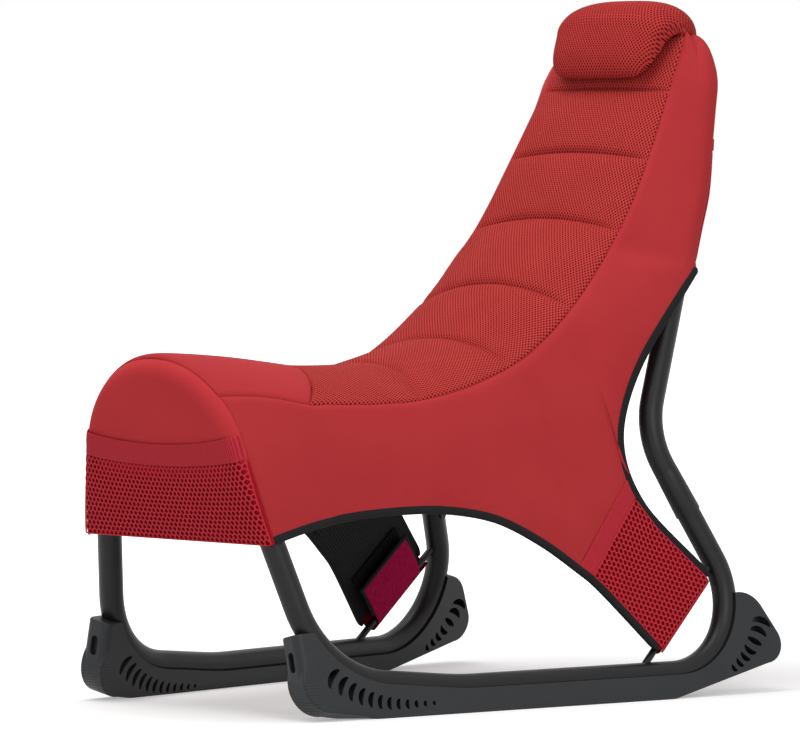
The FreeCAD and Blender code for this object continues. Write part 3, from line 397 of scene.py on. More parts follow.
def weave(material, pitch, light, dark):
    """Fine diagonal weave and a slow change of tone, on Object coordinates; gives its colour."""
    place = lies_at(material)
    patch = calc(material, "MULTIPLY", noise(material, 0.12, 4.0), noise(material, 0.0012, 2.0))
    tint = mix(material, ramp(material, patch, 0.12, 0.4), dark, light)
    x, y, z = [value / pitch for value in WEAVE_LIE]
    threads = [waves(material, place, lie) for lie in ((x, y, z), (x, y, -z))]
    feed(material, Base_Color=tint, Normal=bump(material, calc(material, "MULTIPLY", *threads), 0.25, 0.0002))
    return tint


stretch_cloth = finish_named("warp_knit_polyester", Roughness=0.75, Specular_IOR_Level=0.07)
weave(stretch_cloth, 0.0018, "#b43538", "#ab2f33")
wear(saddle, stretch_cloth)
belongs(saddle, "saddle_panel")


# Front arch: smooth cloth over the front of the hoop, down to the hem, sewn to the saddle and the side
# panels along its edge. Behind the pocket the same cloth is painted darker, as painted shade.
FRONT_FOOT = Vector((0.0, -0.3527, 0.0))
FRONT_UP, FRONT_OUT = Vector((0.0, -0.25198, 0.96773)), Vector((0.0, -0.96773, -0.25198))
HEM, HEM_HALF, LEG_DRAW = 250.0, 188.4, 0.2525       # hem height and half width, and how fast the legs close
BEND_X, BEND_W, BEND_R, BEND_FROM = 5.66, 345.4, 154.5, 14.2
ARCH_WAY, LEG_WAY, BEND_WAY = 347.4, 137.3, 341.7    # half its outline, and where the leg and the bend end on it
LEG_IN, LEG_UP = 0.2404, 0.9707                      # direction of the leg
FRONT_FACE, ARCH_BELLY = 22.5, 3.0


def front(x, w, f):
    return FRONT_FOOT + Vector((x * MM, 0, 0)) + FRONT_UP * (w * MM) + FRONT_OUT * (f * MM)


ROLL_HEM, ROLL_TOP = 6.0, 22.0         # how far the edge rolls back round the tube, at the hem and at the top
OVER_HEM, OVER_TOP = 4.0, 1.5          # and how far it goes past the outline, under the next cloth
ROLL_WAY = 240.0                       # the first changes into the second over this length
ROLL_FROM = 0.72                       # share of the grid's rows that lie on the flat front


def roll_at(way):
    f = min(1.0, way / ROLL_WAY)
    f = f * f * (3 - 2 * f)
    return ROLL_HEM + (ROLL_TOP - ROLL_HEM) * f, OVER_HEM + (OVER_TOP - OVER_HEM) * f


def arch_edge(q, grow):
    """Edge of the front arch, moved out by grow: q from -1 at the right hem corner, over the top, to 1."""
    way = (1 - abs(q)) * ARCH_WAY
    if way < LEG_WAY:
        x, w, turn = HEM_HALF - way * LEG_IN, HEM + way * LEG_UP, math.radians(BEND_FROM)
    elif way < BEND_WAY:
        turn = math.radians(BEND_FROM) + (way - LEG_WAY) / BEND_R
        x, w = BEND_X + BEND_R * math.cos(turn), BEND_W + BEND_R * math.sin(turn)
    else:
        x, w, turn = ARCH_WAY - way, BEND_W + BEND_R, math.pi / 2
    return math.copysign(x + grow * math.cos(turn), q), w + grow * math.sin(turn)


def arch_spot(s, t):
    """Place of the arch's cloth across and up its plane, and how far it has rolled back."""
    q = 2 * s - 1
    roll, over = roll_at((1 - abs(q)) * ARCH_WAY)
    low = q * HEM_HALF
    if t < ROLL_FROM:
        x, w = arch_edge(q, -roll)
        return low + (x - low) * t / ROLL_FROM, HEM + max(0.0, w - HEM) * t / ROLL_FROM, 0.0
    turn = (t - ROLL_FROM) / (1 - ROLL_FROM) * math.pi / 2
    x, w = arch_edge(q, -roll + (roll + over) * math.sin(turn))
    return x, max(HEM, w), roll * (1 - math.cos(turn))


def arch_place(s, t):
    x, w, back = arch_spot(s, t)
    f = min(1.0, t / ROLL_FROM)
    return front(x, w, FRONT_FACE + ARCH_BELLY * 4 * f * (1 - f) * (1 - (2 * s - 1) ** 4) - back)


arch = cloth_grid("front_arch_cloth", 80, 40, arch_place, lambda s, t: [value * MM for value in arch_spot(s, t)[:2]])
thicken(arch, 0.0035)
POCKET_PAINTED_SHADE, POCKET_TOP = "#a01020", (0.372, 0.362)     # the painted shade behind the pocket, and the heights between which it fades in
arch_cloth = finish_named("warp_knit_polyester_front", Roughness=0.75, Specular_IOR_Level=0.07)
# The front's cloth is painted lighter than the same cloth on the saddle, side panels and back, as painted light.
above = weave(arch_cloth, 0.0018, "#c2383c", "#b93337")
height = axes(arch_cloth, on_cloth(arch_cloth))["Y"]
feed(arch_cloth, Base_Color=mix(arch_cloth, ramp(arch_cloth, height, *POCKET_TOP), above, POCKET_PAINTED_SHADE))
wear(arch, arch_cloth)
belongs(arch, "front_panel")


# Front pocket: a ribbed elastic band whose middle hangs lower than its ends, and a coarse net from it
# down to the hem, standing a little off the arch.
LEG_TOP = 383.3                        # height at which the legs go over into the bend


def half_width(w):
    if w < LEG_TOP:
        return HEM_HALF - LEG_DRAW * (w - HEM)
    return BEND_X + math.sqrt(BEND_R ** 2 - (w - BEND_W) ** 2)


def roll_back(x, w):
    """How far the arch's cloth has rolled back at this place."""
    roll, over = roll_at((w - HEM) / LEG_UP)
    share = (abs(x) - half_width(w) + roll) / (roll + over)
    return roll * (1 - math.sqrt(1 - min(1.0, max(0.0, share)) ** 2))


BAND_END, BAND_SAG, BAND_HEIGHT, BAND_WIDER = 402.0, 14.0, 34.0, 3.0
BAND_OVER, BAND_OFF, BAND_BELLY = 3.4, 3.5, 3.0      # past the arch's edge, off its cloth, and more in the middle
NET_OVER, NET_OFF, NET_BELLY = 2.4, 2.2, 3.5


def band_low(q):
    return BAND_END - BAND_HEIGHT - (BAND_SAG - BAND_WIDER) * (1 - q * q)


def band_place(s, t):
    q = 2 * s - 1
    low = band_low(q)
    w = low + (BAND_END - BAND_SAG * (1 - q * q) - low) * t
    x = q * (half_width(w) + BAND_OVER)
    return front(x, w, FRONT_FACE + BAND_OFF + BAND_BELLY * (1 - q ** 4) - roll_back(x, w))


front_band = cloth_grid("front_pocket_elastic", 72, 8, band_place, lambda s, t: (0.31 * s, 0.036 * t))
thicken(front_band, 0.0025)
# Knitted elastic: rubber cords under polyester, ribs across it about 3 mm apart.
RIB = 0.0031
elastic = finish_named("ribbed_elastic", Roughness=0.7, Specular_IOR_Level=0.08)
groove = ramp(elastic, waves(elastic, on_cloth(elastic), (1 / RIB, 0, 0), "COSINE"), -1.0, 0.2)
feed(elastic, Base_Color=mix(elastic, groove, "#9e1f2c", "#be323d"), Normal=bump(elastic, groove, 0.6, 0.0007))
wear(front_band, elastic)
belongs(front_band, "front_pocket_band")


ZIGZAG, STRAND = 0.3, 0.0036           # rise of a cell's points in rows, and thickness of the cord


def net_cells(name, columns, rows, place_at):
    """Net of staggered six-sided cells: the cells are laid on place_at(s, t), then left as strands."""
    points, faces = [], []
    for j in range(rows + 1):
        for i in range(columns + 1):
            rise = 0.0 if j in (0, rows) else (ZIGZAG if (i + j) % 2 == 0 else -ZIGZAG)
            points.append(place_at(i / columns, (j + rise) / rows))
    wide = columns + 1
    for j in range(rows):
        for i in range(-(j % 2), columns, 2):
            spots = [k for k in (i, i + 1, i + 2) if 0 <= k <= columns]
            faces.append([j * wide + k for k in spots] + [(j + 1) * wide + k for k in reversed(spots)])
    mesh = bpy.data.meshes.new(name)
    mesh.from_pydata(points, [], faces)
    piece = bpy.data.objects.new(name, mesh)
    bpy.context.scene.collection.objects.link(piece)
    strands = piece.modifiers.new("strands", "WIREFRAME")
    strands.thickness, strands.use_even_offset, strands.use_boundary = STRAND, False, True
    soft = piece.modifiers.new("soft", "SUBSURF")
    soft.levels = soft.render_levels = 1
    apply_all(piece)
    return piece


def front_net_place(s, t):
    q = 2 * s - 1
    w = HEM + 2.0 + (band_low(q) + 0.5 - HEM) * t
    belly = NET_BELLY * math.sin(math.pi * t) ** 0.8
    x = q * (half_width(w) + NET_OVER)
    return front(x, w, FRONT_FACE + NET_OFF + belly * (1 - q ** 6) - roll_back(x, w))


front_net = net_cells("front_pocket_net_cords", 84, 17, front_net_place)
# Raschel net of polyester cord: soft round strands, a little glossier than cloth.
net_cord = finish_named("raschel_net_cord", Roughness=0.6, Specular_IOR_Level=0.12)
fibre = noise(net_cord, 0.0016, 3.0)
feed(net_cord, Base_Color=mix(net_cord, fibre, "#b0222f", "#c8343f"), Normal=bump(net_cord, fibre, 0.5, 0.0005))
wear(front_net, net_cord)
belongs(front_net, "front_pocket_net")


# Side panels: one piece of smooth stretch cloth on each side, from the saddle and the pad's edge to the
# bound edges, drawn into a wing towards the rear, and round the tube of the back.
LOWER_EDGE = (
    (-424.0, 238.0, 26.0), (-352.0, 256.0, 20.5), (-284.0, 268.0, 15.0), (-200.0, 273.0, 14.0),
    (-120.0, 271.0, 14.0), (-40.0, 256.0, 14.0), (30.0, 222.0, 14.0), (88.0, 182.0, 14.0),
    (125.0, 151.5, 14.0), (210.0, 62.0, 14.0),
)
REAR_EDGE = (
    (326.0, 171.0, 14.0), (247.0, 247.0, 14.0), (218.0, 286.0, 14.0), (203.0, 330.0, 13.0),
    (204.0, 376.0, 13.0), (223.0, 425.0, 14.0), (255.0, 477.0, 18.0), (296.0, 527.0, 24.0),
    (338.0, 572.0, 26.0), (372.0, 606.0, 22.0),
)
# Where its lines start along the pad, in rows
PANEL_PAD = (0.0, 0.25, 0.62, 1.0, 1.45, 1.85, 2.15, 2.25, 2.34, 2.6, 2.83, 2.9, 2.94, 3.05, 3.2, 3.32, 3.44, 3.56,
             3.7, 3.84)
# Where the panel goes round the back tube: place along the pad, height on the tube, drawn in at the shoulder
PANEL_BACK = ((4.05, 634, 0.0), (4.4, 678, 0.0), (4.85, 731, 0.0), (5.45, 800, 0.0), (6.0, 850, 0.0),
              (6.4, 880, 0.0), (6.7, 900, 4.5), (6.88, 914, 11.0), (7.0, 923, 19.0))
SWELL, WRAP_R, WRAP_END = 10.0, 0.0222, math.radians(100)
STEPS, PANEL_TUCK = 12, 0.006             # points along a line, and how far its start is tucked under the pad
LOIN_U, LOIN_V, NECK_V = 252.1, 376.0, 731.0      # foot of the back tube on the side frame, and height of its bend
LOIN_LEAN, NECK_LEAN = math.radians(22.5), math.radians(15.7)


def inset(points, distance):
    """Points of a bound edge moved in from it, square to its run."""
    moved = []
    for i, point in enumerate(points):
        before, after = points[max(i - 1, 0)], points[min(i + 1, len(points) - 1)]
        du, dv = after[0] - before[0], after[1] - before[1]
        length = math.hypot(du, dv)
        moved.append((point[0] - dv / length * distance, point[1] + du / length * distance, point[2]))
    return moved


def back_square(v, reach, n):
    """Point square to the back tube, behind its centre by reach."""
    lean = LOIN_LEAN if v < NECK_V else NECK_LEAN
    centre = LOIN_U + (min(v, NECK_V) - LOIN_V) * math.tan(LOIN_LEAN) + max(v - NECK_V, 0) * math.tan(NECK_LEAN)
    return side(centre + reach * math.cos(lean), v - reach * math.sin(lean), n)


def arc_through(a, b, c, r):
    """Point on the arc from a through b to c."""
    ab, ac = b - a, c - a
    square = ab.cross(ac)
    if square.length < 1e-10:
        return a + ac * r
    to_centre = square.cross(ab) * ac.length_squared + ac.cross(square) * ab.length_squared
    centre = a + to_centre / (2 * square.length_squared)
    first = a - centre
    second = square.normalized().cross(first)
    turn = math.atan2((c - centre).dot(second), (c - centre).dot(first)) % (2 * math.pi)
    return centre + first * math.cos(turn * r) + second * math.sin(turn * r)


def round_tube(start, v, draw):
    """Line of the cloth from the pad's edge straight to the back tube and round behind it."""
    centre = back_square(v, 0, -draw)
    square = (back_square(v, 1, 0) - back_square(v, 0, 0)).normalized()
    axis = OUT.cross(square)
    arm = start - centre
    a, b = arm.dot(OUT), arm.dot(square)
    reach = math.hypot(a, b)
    touch = math.atan2(b, a) + math.acos(WRAP_R / reach)
    straight = math.sqrt(reach ** 2 - WRAP_R ** 2)
    whole = straight + WRAP_R * (WRAP_END - touch)
    line = []
    for k in range(STEPS + 1):
        way = whole * k / STEPS
        turn = max(touch, touch + (way - straight) / WRAP_R)
        left = max(0.0, 1 - way / straight)
        p, q = WRAP_R * math.cos(turn), WRAP_R * math.sin(turn)
        line.append(centre + OUT * (p + (a - p) * left) + square * (q + (b - q) * left)
                    + axis * (arm.dot(axis) * left))
    return line


SEWN = 7.0                                # the cloth ends this far inside the edge of its tape
lower, rear = inset(LOWER_EDGE, SEWN), inset(REAR_EDGE, SEWN)
edges = [Vector([value * MM for value in row[:3]]) for row in SADDLE[:3]] + [pad_point(t)[0] for t in PANEL_PAD]


def part_way(a, b, share):
    return [p + (q - p) * share for p, q in zip(a, b)]


SEAM_REAR_SHARE = 0.62                    # the wing's seam ends this far from the third rear point to the next
seam_end = part_way(rear[2], rear[3], SEAM_REAR_SHARE)
seam = part_way(lower[7], seam_end, 0.5)
ends = [lower[0], part_way(lower[0], lower[1], 0.3), lower[1], part_way(lower[1], lower[2], 0.5)] + lower[2:7]
ends += [part_way(lower[6], lower[7], 0.75), lower[7], part_way(lower[7], seam, 0.25), seam]
ends += [part_way(seam, seam_end, 0.75), seam_end, part_way(seam_end, rear[3], 0.4)] + rear[3:]
OVER_PAD = Vector((0.0022, 0, 0))
lines = []
for edge, end in zip(edges, ends):
    start, last = edge + OVER_PAD, side(*end)
    middle = (start + last) * 0.5 + OUT * (SWELL * MM)
    lines.append([arc_through(start, middle, last, k / STEPS) for k in range(STEPS + 1)])
# The rear edge is hollow: beside it the cloth is drawn in ahead of the tape, by these lengths in mm
HOLLOW = ((12, 1.0), (13, 3.0), (14, 5.5), (15, 6.5), (16, 6.2), (17, 4.0), (18, 1.5))
HOLLOW_CREST = 9.5                        # makes the crest of r ** 3 * (1 - r) about 1
for i, pull in HOLLOW:
    for k in range(STEPS + 1):
        r = k / STEPS
        lines[i][k] -= ALONG * (pull * MM * HOLLOW_CREST * r ** 3 * (1 - r))
start, last = lines[-1][0], lines[-1][-1]
over_tube = back_square(ends[-1][1], -6.0, 22.5)
bent = [list(start), list(start.lerp(over_tube, 0.5)), list(over_tube), list(last)]
lines[-1] = [Vector(smooth_row(bent, 3 * k / STEPS)) for k in range(STEPS + 1)]
for t, v, draw in PANEL_BACK:
    lines.append(round_tube(pad_point(t)[0] + OVER_PAD + corner_rise(t), v, draw))
stations = [[value for point in line for value in point] for line in lines]


def panel_place(s, t):
    row = smooth_row(stations, t * (len(stations) - 1))
    points = [row[3 * k:3 * k + 3] for k in range(STEPS + 1)]
    tuck = max(0.0, 1 - s / 0.04, 1 - t / 0.01) ** 2
    return Vector(smooth_row(points, s * STEPS)) - OUT * (PANEL_TUCK * tuck)


for name, mirror in SIDES:
    flip = Vector((mirror, 1, 1))
    panel = cloth_grid(name + "_side_cloth", 26, 132, lambda s, t: panel_place(s, t) * flip,
                       lambda s, t: (0.2 * s, 1.4 * t))
    if mirror < 0:
        panel.data.flip_normals()
    thicken(panel, 0.003)
    wear(panel, stretch_cloth)
    belongs(panel, name + "_side_panel")


# Edge bindings: black woven tape folded over the free edges of the side panels and wings and sewn through,
# with a fine slanting rib.
TAPE_RIB = 0.0022
tape = finish_named("woven_binding_tape", Roughness=0.8, Specular_IOR_Level=0.15)
level = ramp(tape, waves(tape, on_cloth(tape), (1 / TAPE_RIB, 0.3 / TAPE_RIB, 0)), -1.0, 1.0)
feed(tape, Base_Color=mix(tape, level, "#151516", "#222224"), Normal=bump(tape, level, 0.5, 0.0004))
TAPE_INSET, TAPE_BACK = 6.0, 2.0          # its middle lies inside the edge, and behind the outer face
SECTION_POWER, END_SHARE, END_SIZE = 0.7, 0.004, 0.35


def taped_edge(name, centres, across, faces_out, half_wide, half_thick, closed=12):
    """Folded tape along a line of centres: a flat oval section, with rounded ends."""
    def place_at(s, t):
        k = t * (len(centres) - 1)
        i = min(int(k), len(centres) - 2)
        f = k - i
        centre = centres[i].lerp(centres[i + 1], f)
        wide, deep = across[i].lerp(across[i + 1], f), faces_out[i].lerp(faces_out[i + 1], f)
        turn = 2 * math.pi * s
        shut = 1.0 if END_SHARE < t < 1 - END_SHARE else END_SIZE
        c, d = math.cos(turn), math.sin(turn)
        c, d = [math.copysign(abs(value) ** SECTION_POWER, value) for value in (c, d)]
        return centre + wide * (half_wide * shut * c) - deep * (half_thick * shut * d)

    length = sum((b - a).length for a, b in zip(centres, centres[1:]))
    piece = cloth_grid(name, closed, max(24, int(length / 0.009)), place_at, lambda s, t: (length * t, 0.04 * s))
    bpy.ops.object.mode_set(mode="EDIT")
    bpy.ops.mesh.select_all(action="SELECT")
    bpy.ops.mesh.remove_doubles(threshold=0.0001)
    bpy.ops.mesh.fill_holes(sides=0)
    bpy.ops.mesh.normals_make_consistent(inside=False)
    bpy.ops.object.mode_set(mode="OBJECT")
    soft = piece.modifiers.new("soft", "SUBSURF")
    soft.levels = soft.render_levels = 1
    apply_all(piece)
    wear(piece, tape)
    return piece


def edge_line(table, mirror):
    """Centres of a tape along a table of (u, v, n), with its directions across and out."""
    middle = inset(table, TAPE_INSET)
    centres, across, faces_out = [], [], []
    count = 8 * (len(table) - 1)
    for i in range(count + 1):
        t = (len(table) - 1) * i / count
        here = smooth_row(middle, t)
        centres.append(side(here[0], here[1], here[2] - TAPE_BACK))
    flip = Vector((mirror, 1, 1))
    centres = [point * flip for point in centres]
    out = OUT * flip
    for i in range(len(centres)):
        run = centres[min(i + 1, len(centres) - 1)] - centres[max(i - 1, 0)]
        across.append(out.cross(run).normalized())
        faces_out.append(out.copy())
    return centres, across, faces_out


for name, mirror in SIDES:
    for edge, table in (("lower", LOWER_EDGE), ("rear", REAR_EDGE)):
        strip = taped_edge(f"{name}_{edge}_tape", *edge_line(table, mirror), 0.0062, 0.0042)
        belongs(strip, f"{name}_{edge}_binding")


# Wings: below the side panel a ribbed elastic band, then a coarse net over a dark backing that wraps round
# the rod; inside, a black ribbed lining with a hook strip, and a crimson flap folded round the rod.
LOW_SIDE = ((95.45, 192.04), (116.3, 174.85), (133.77, 160.41), (218.3, 71.4))
REAR_SIDE = ((196.85, 309.88), (206.95, 280.2), (237.89, 238.44), (314.8, 164.4))
ROD_MIDDLE = Vector((0.28697, 0.24685, 0.11225))
ROD_ALONG, ROD_UP = Vector((-0.05068, 0.73316, 0.67817)), Vector((-0.25029, -0.6667, 0.70205))
backing_cloth = finish_named("dyed_backing_cloth", Roughness=0.85, Specular_IOR_Level=0.05)
weave(backing_cloth, 0.002, "#a41122", "#8f0c1b")
LINING_RIB = 0.0045
lining_cloth = finish_named("ribbed_lining", Roughness=0.8, Specular_IOR_Level=0.15)
level = ramp(lining_cloth, waves(lining_cloth, on_cloth(lining_cloth), (1 / LINING_RIB, 0, 0)), -1.0, 1.0)
feed(lining_cloth, Base_Color=mix(lining_cloth, level, "#0f0f10", "#2a2a2c"),
     Normal=bump(lining_cloth, level, 0.7, 0.0008))
hook_tape = finish_named("hook_tape", Roughness=0.95, Specular_IOR_Level=0.1)
fuzz = noise(hook_tape, 0.0025, 5.0)
feed(hook_tape, Base_Color=mix(hook_tape, fuzz, "#070708", "#1d1d1e"), Normal=bump(hook_tape, fuzz, 1.0, 0.0015))
# Brushed loop cloth: short crimson pile that lies in streaks.
PILE_WIDE, PILE_LONG = 0.0014, 0.010
loop_cloth = finish_named("brushed_loop_cloth", Roughness=0.85, Specular_IOR_Level=0.08)
streaks = add(loop_cloth, "ShaderNodeMapping", {0: on_cloth(loop_cloth), 3: (1 / PILE_WIDE, 1 / PILE_LONG, 1.0)})
pile = add(loop_cloth, "ShaderNodeTexNoise", {"Vector": streaks.outputs[0], "Scale": 1.0, "Detail": 4.0}).outputs["Fac"]
feed(loop_cloth, Base_Color=mix(loop_cloth, ramp(loop_cloth, pile, 0.35, 0.7), "#a00640", "#cc1a5a"),
     Normal=bump(loop_cloth, pile, 0.6, 0.001))
WRAP_SHARE = 0.88                 # the part of the net's length that lies flat, before it goes round the rod
SEWN_IN = 0.03                    # share of the width that is sewn into the tape on each side
LINING_FROM, LINING_TO = -0.5, 0.93      # the lining goes on above the band, behind the side panel
BAND_FACE, LINING_FACE = 14.6, 9.0        # how far out of the side frame the band and the lining lie
# How far out the net and its backing lie, how far from the rod's middle they go round it, and by how much
NET_WRAP, BACKING_WRAP = (14.5, 10.5, 80), (12.0, 8.9, 125)
HOOK_LONG, HOOK_WIDE, HOOK_UP, HOOK_OUT = 0.110, 0.030, 0.060, 0.0060
FLAP_WIDE, TIP_UP, TONGUE_IN, TONGUE_BELLY = 0.108, 72.0, 7.2, 1.6
FLAP_ROUND, FLAP_TURN = 7.4, math.radians(215)


def along_side(points, t):
    """Point along the wing's edge from the far side of the band (t = 0) to above the rod (t = 1)."""
    a, b, c = points[1:]
    first = math.dist(a, b)
    whole = first + math.dist(b, c)
    way = t * whole
    return part_way(a, b, way / first) if way < first else part_way(b, c, (way - first) / (whole - first))


def sewn_in(s):
    """Share of the width, going on into the tape on both sides."""
    return s * (1 + 2 * SEWN_IN) - SEWN_IN


def wing_place(s, t, top, round_by, turn_by):
    """Place on the wing: s from the lower to the rear edge, t from the band to round the rod."""
    flat = min(1.0, t / WRAP_SHARE)
    u, v = part_way(along_side(LOW_SIDE, flat), along_side(REAR_SIDE, flat), s)
    turn = max(0.0, (t - WRAP_SHARE) / (1 - WRAP_SHARE)) * math.radians(turn_by)
    return side(u, v, top * math.cos(turn)) - ROD_UP * (round_by * MM * math.sin(turn))


def wing_band_place(s, t):
    return side(*part_way(part_way(*LOW_SIDE[:2], t), part_way(*REAR_SIDE[:2], t), sewn_in(s)), BAND_FACE)


def lining_place(s, t):
    way = LINING_FROM + (LINING_TO - LINING_FROM) * t
    return side(*part_way(along_side(LOW_SIDE, way), along_side(REAR_SIDE, way), sewn_in(s)), LINING_FACE)


def by_rod(along, up, out):
    return ROD_MIDDLE + ROD_ALONG * along + ROD_UP * up + OUT * out


TONGUE = 0.72                     # share of the flap's length before it reaches the rod


def flap_path(t):
    """Section of the flap, as distances up the wing and out of it from the rod: tip, tongue, round the rod."""
    if t < TONGUE:
        return (TIP_UP * (1 - t / TONGUE) * MM,
                -(TONGUE_IN + TONGUE_BELLY * math.sin(math.pi * t / TONGUE)) * MM)
    turn = -math.pi / 2 - (t - TONGUE) / (1 - TONGUE) * FLAP_TURN
    return FLAP_ROUND * math.cos(turn) * MM, FLAP_ROUND * math.sin(turn) * MM


# The flap's hem goes round its tip: places along the rod and up the wing, and how far inside the wing it lies
HEM_RIM = ((-0.054, 0.010), (-0.054, 0.066), (-0.050, 0.071), (0.050, 0.071), (0.054, 0.066), (0.054, 0.010))
HEM_IN, HEM_STEPS = 0.0068, 40


for name, mirror in SIDES:
    flip = Vector((mirror, 1, 1))
    out = OUT * flip
    band = cloth_grid(name + "_wing_elastic", 36, 6, lambda s, t: wing_band_place(1 - s, t) * flip,
                      lambda s, t: (0.142 * s, 0.027 * t))
    net = net_cells(name + "_wing_net_cords", 34, 24, lambda s, t: wing_place(s, t, *NET_WRAP) * flip)
    backing = cloth_grid(name + "_wing_backing", 24, 32,
                         lambda s, t: wing_place(sewn_in(1 - s), t, *BACKING_WRAP) * flip,
                         lambda s, t: (0.14 * s, 0.15 * t))
    lining = cloth_grid(name + "_wing_lining_cloth", 24, 24, lambda s, t: lining_place(s, t) * flip,
                        lambda s, t: (0.14 * s, 0.2 * t))
    hooks = cloth_grid(name + "_hook_tape", 40, 10,
                       lambda s, t: by_rod(HOOK_LONG * (s - 0.5), HOOK_UP + HOOK_WIDE * t, HOOK_OUT) * flip,
                       lambda s, t: (HOOK_LONG * s, HOOK_WIDE * t))
    flap = cloth_grid(name + "_loop_flap", 36, 60,
                      lambda s, t: by_rod(FLAP_WIDE * (s - 0.5), *flap_path(t)) * flip,
                      lambda s, t: (FLAP_WIDE * s, 0.1 * t))
    rim = [list(by_rod(along, up, -HEM_IN) * flip) for along, up in HEM_RIM]
    line = [Vector(smooth_row(rim, (len(rim) - 1) * i / HEM_STEPS)) for i in range(HEM_STEPS + 1)]
    sideways = [out.cross(line[min(i + 1, HEM_STEPS)] - line[max(i - 1, 0)]).normalized() for i in range(len(line))]
    hem = taped_edge(name + "_flap_tape", line, sideways, [out] * len(line), 0.0042, 0.0022, 10)
    for piece, thick, material in ((band, 0.002, elastic), (backing, 0.0008, backing_cloth),
                                   (lining, 0.0012, lining_cloth), (hooks, 0.0012, hook_tape),
                                   (flap, 0.0012, loop_cloth)):
        if (mirror < 0) != (piece in (flap, lining)):
            piece.data.flip_normals()
        thicken(piece, thick)
        wear(piece, material)
    wear(net, net_cord)
    belongs(band, name + "_wing_band")
    belongs(net, name + "_wing_net")
    belongs(lining, name + "_wing_lining")
    belongs(hooks, name + "_hook_strip")
    belongs(backing)
    belongs(flap, name + "_wing_flap", name + "_wing_flap")
    belongs(hem, body=name + "_wing_flap")


# Back cover: smooth cloth stretched between the side panels behind the back hoop, with a net pocket under
# a ribbed elastic top, and a sewn cap over the top of the hoop.
BACK = ((193.6, 366.6, 582.0), (193.5, 371.8, 593.4), (183.0, 400.0, 656.0), (175.2, 422.5, 706.2),
        (164.2, 440.7, 763.8), (155.2, 453.0, 802.9), (137.0, 474.6, 871.2), (128.0, 480.6, 890.0),
        (116.0, 484.0, 907.0))
BACK_LAST = len(BACK) - 1
BACK_OVER, BACK_OFF, BACK_HOLLOW = 0.007, 0.0015, 0.003      # it laps the panels, lies off them, and is hollow
BACK_OUT = Vector((0.0, 0.92, -0.39))
POCKET_FOOT, POCKET_ROWS, POCKET_BELLY = 1.25, 3.3, 0.006


def back_place(s, t):
    half, y, z = [value * MM for value in smooth_row(BACK, t * BACK_LAST)]
    w = 1 - 2 * s
    hollow = BACK_HOLLOW * (1 - w * w) * math.sin(math.pi * t)
    return Vector((w * (half + BACK_OVER), y + BACK_OFF - hollow, z))


back_cloth = cloth_grid("back_cover_cloth", 40, 48, back_place, lambda s, t: (0.36 * s, 0.32 * t))
thicken(back_cloth, 0.003)
BACK_POCKET_TOP = (0.752, 0.742)
back_knit = finish_named("warp_knit_polyester_back", Roughness=0.75, Specular_IOR_Level=0.07)
above = weave(back_knit, 0.0018, "#b4343a", "#ab2f34")
# Below the pocket's top the same cloth is painted darker, as painted shade behind the pocket.
height = axes(back_knit, lies_at(back_knit))["Z"]
feed(back_knit, Base_Color=mix(back_knit, ramp(back_knit, height, *BACK_POCKET_TOP), above, POCKET_PAINTED_SHADE))
wear(back_cloth, back_knit)


def pocket_place(s, t, off):
    """Behind the back cover, t from the foot of the pocket to the top of its elastic."""
    point = back_place(s, (POCKET_FOOT + POCKET_ROWS * t) / BACK_LAST)
    w = 1 - 2 * s
    belly = POCKET_BELLY * math.sin(math.pi * min(1.0, 1.1 * t)) * (1 - w ** 6)
    return point + BACK_OUT * (off + belly)


NET_INSET, ELASTIC_INSET, NET_TO, ELASTIC_FROM = 0.0125, 0.0035, 0.86, 0.85      # shares of the pocket
back_net = net_cells("back_pocket_net_cords", 80, 18, lambda s, t: pocket_place(
    NET_INSET + (1 - 2 * NET_INSET) * s, NET_TO * t, 0.0022))
back_band = cloth_grid("back_pocket_elastic", 60, 6, lambda s, t: pocket_place(
    ELASTIC_INSET + (1 - 2 * ELASTIC_INSET) * s, ELASTIC_FROM + (1 - ELASTIC_FROM) * t, 0.0035),
    lambda s, t: (0.33 * s, 0.03 * t))
thicken(back_band, 0.0025)
hem_line = [back_place(i / 24, 0.0) for i in range(25)]
back_hem = taped_edge("back_hem_tape", hem_line, [Vector((0, 0.38, 0.92))] * len(hem_line),
                      [BACK_OUT] * len(hem_line), 0.006, 0.0036)
wear(back_net, net_cord)
wear(back_band, elastic)
# The cap's path: up the left tube, round its shoulder and along the top to the middle
CAP_CORNER = Vector((0.13842, 0.46004, 0.90485))
CAP_DOWN = Vector((0.03461, -0.06042, -0.19132)).normalized()
CAP_BEHIND = Vector((1, 0, 0)).cross(CAP_DOWN).normalized()
CAP_BEND, CAP_R, CAP_ROUND, CAP_TUBE = 0.060, 0.0215, math.radians(88), 0.03
CAP_RISE, RISE_AT, RISE_REACH = 0.012, 0.098, 0.027      # the cloth stands up over each shoulder
half_turn = (math.pi - CAP_DOWN.angle(Vector((-1, 0, 0)))) / 2
bend_reach = CAP_BEND * math.tan(half_turn)
cap_inner = (CAP_DOWN + Vector((-1, 0, 0))).normalized()
cap_centre = CAP_CORNER + cap_inner * (CAP_BEND / math.cos(half_turn))


def cap_line(t):
    """Point, outward direction and rise along the left half of the cap: t = 0 on the tube, 1 at the middle."""
    tube, bend, top = CAP_TUBE, 2 * half_turn * CAP_BEND, CAP_CORNER.x - bend_reach
    way = t * (tube + bend + top)
    rise = CAP_RISE * math.exp(-((way - RISE_AT) / RISE_REACH) ** 2)
    from_tube = (CAP_CORNER + CAP_DOWN * bend_reach - cap_centre).normalized()
    from_top = (CAP_CORNER - Vector((bend_reach, 0, 0)) - cap_centre).normalized()
    if way < tube:
        return CAP_CORNER + CAP_DOWN * (bend_reach + tube - way), from_tube, rise
    if way < tube + bend:
        out = from_tube.slerp(from_top, (way - tube) / bend)
        return cap_centre + out * CAP_BEND, out, rise
    return Vector((CAP_CORNER.x - bend_reach - (way - tube - bend), CAP_CORNER.y, CAP_CORNER.z)), from_top, rise


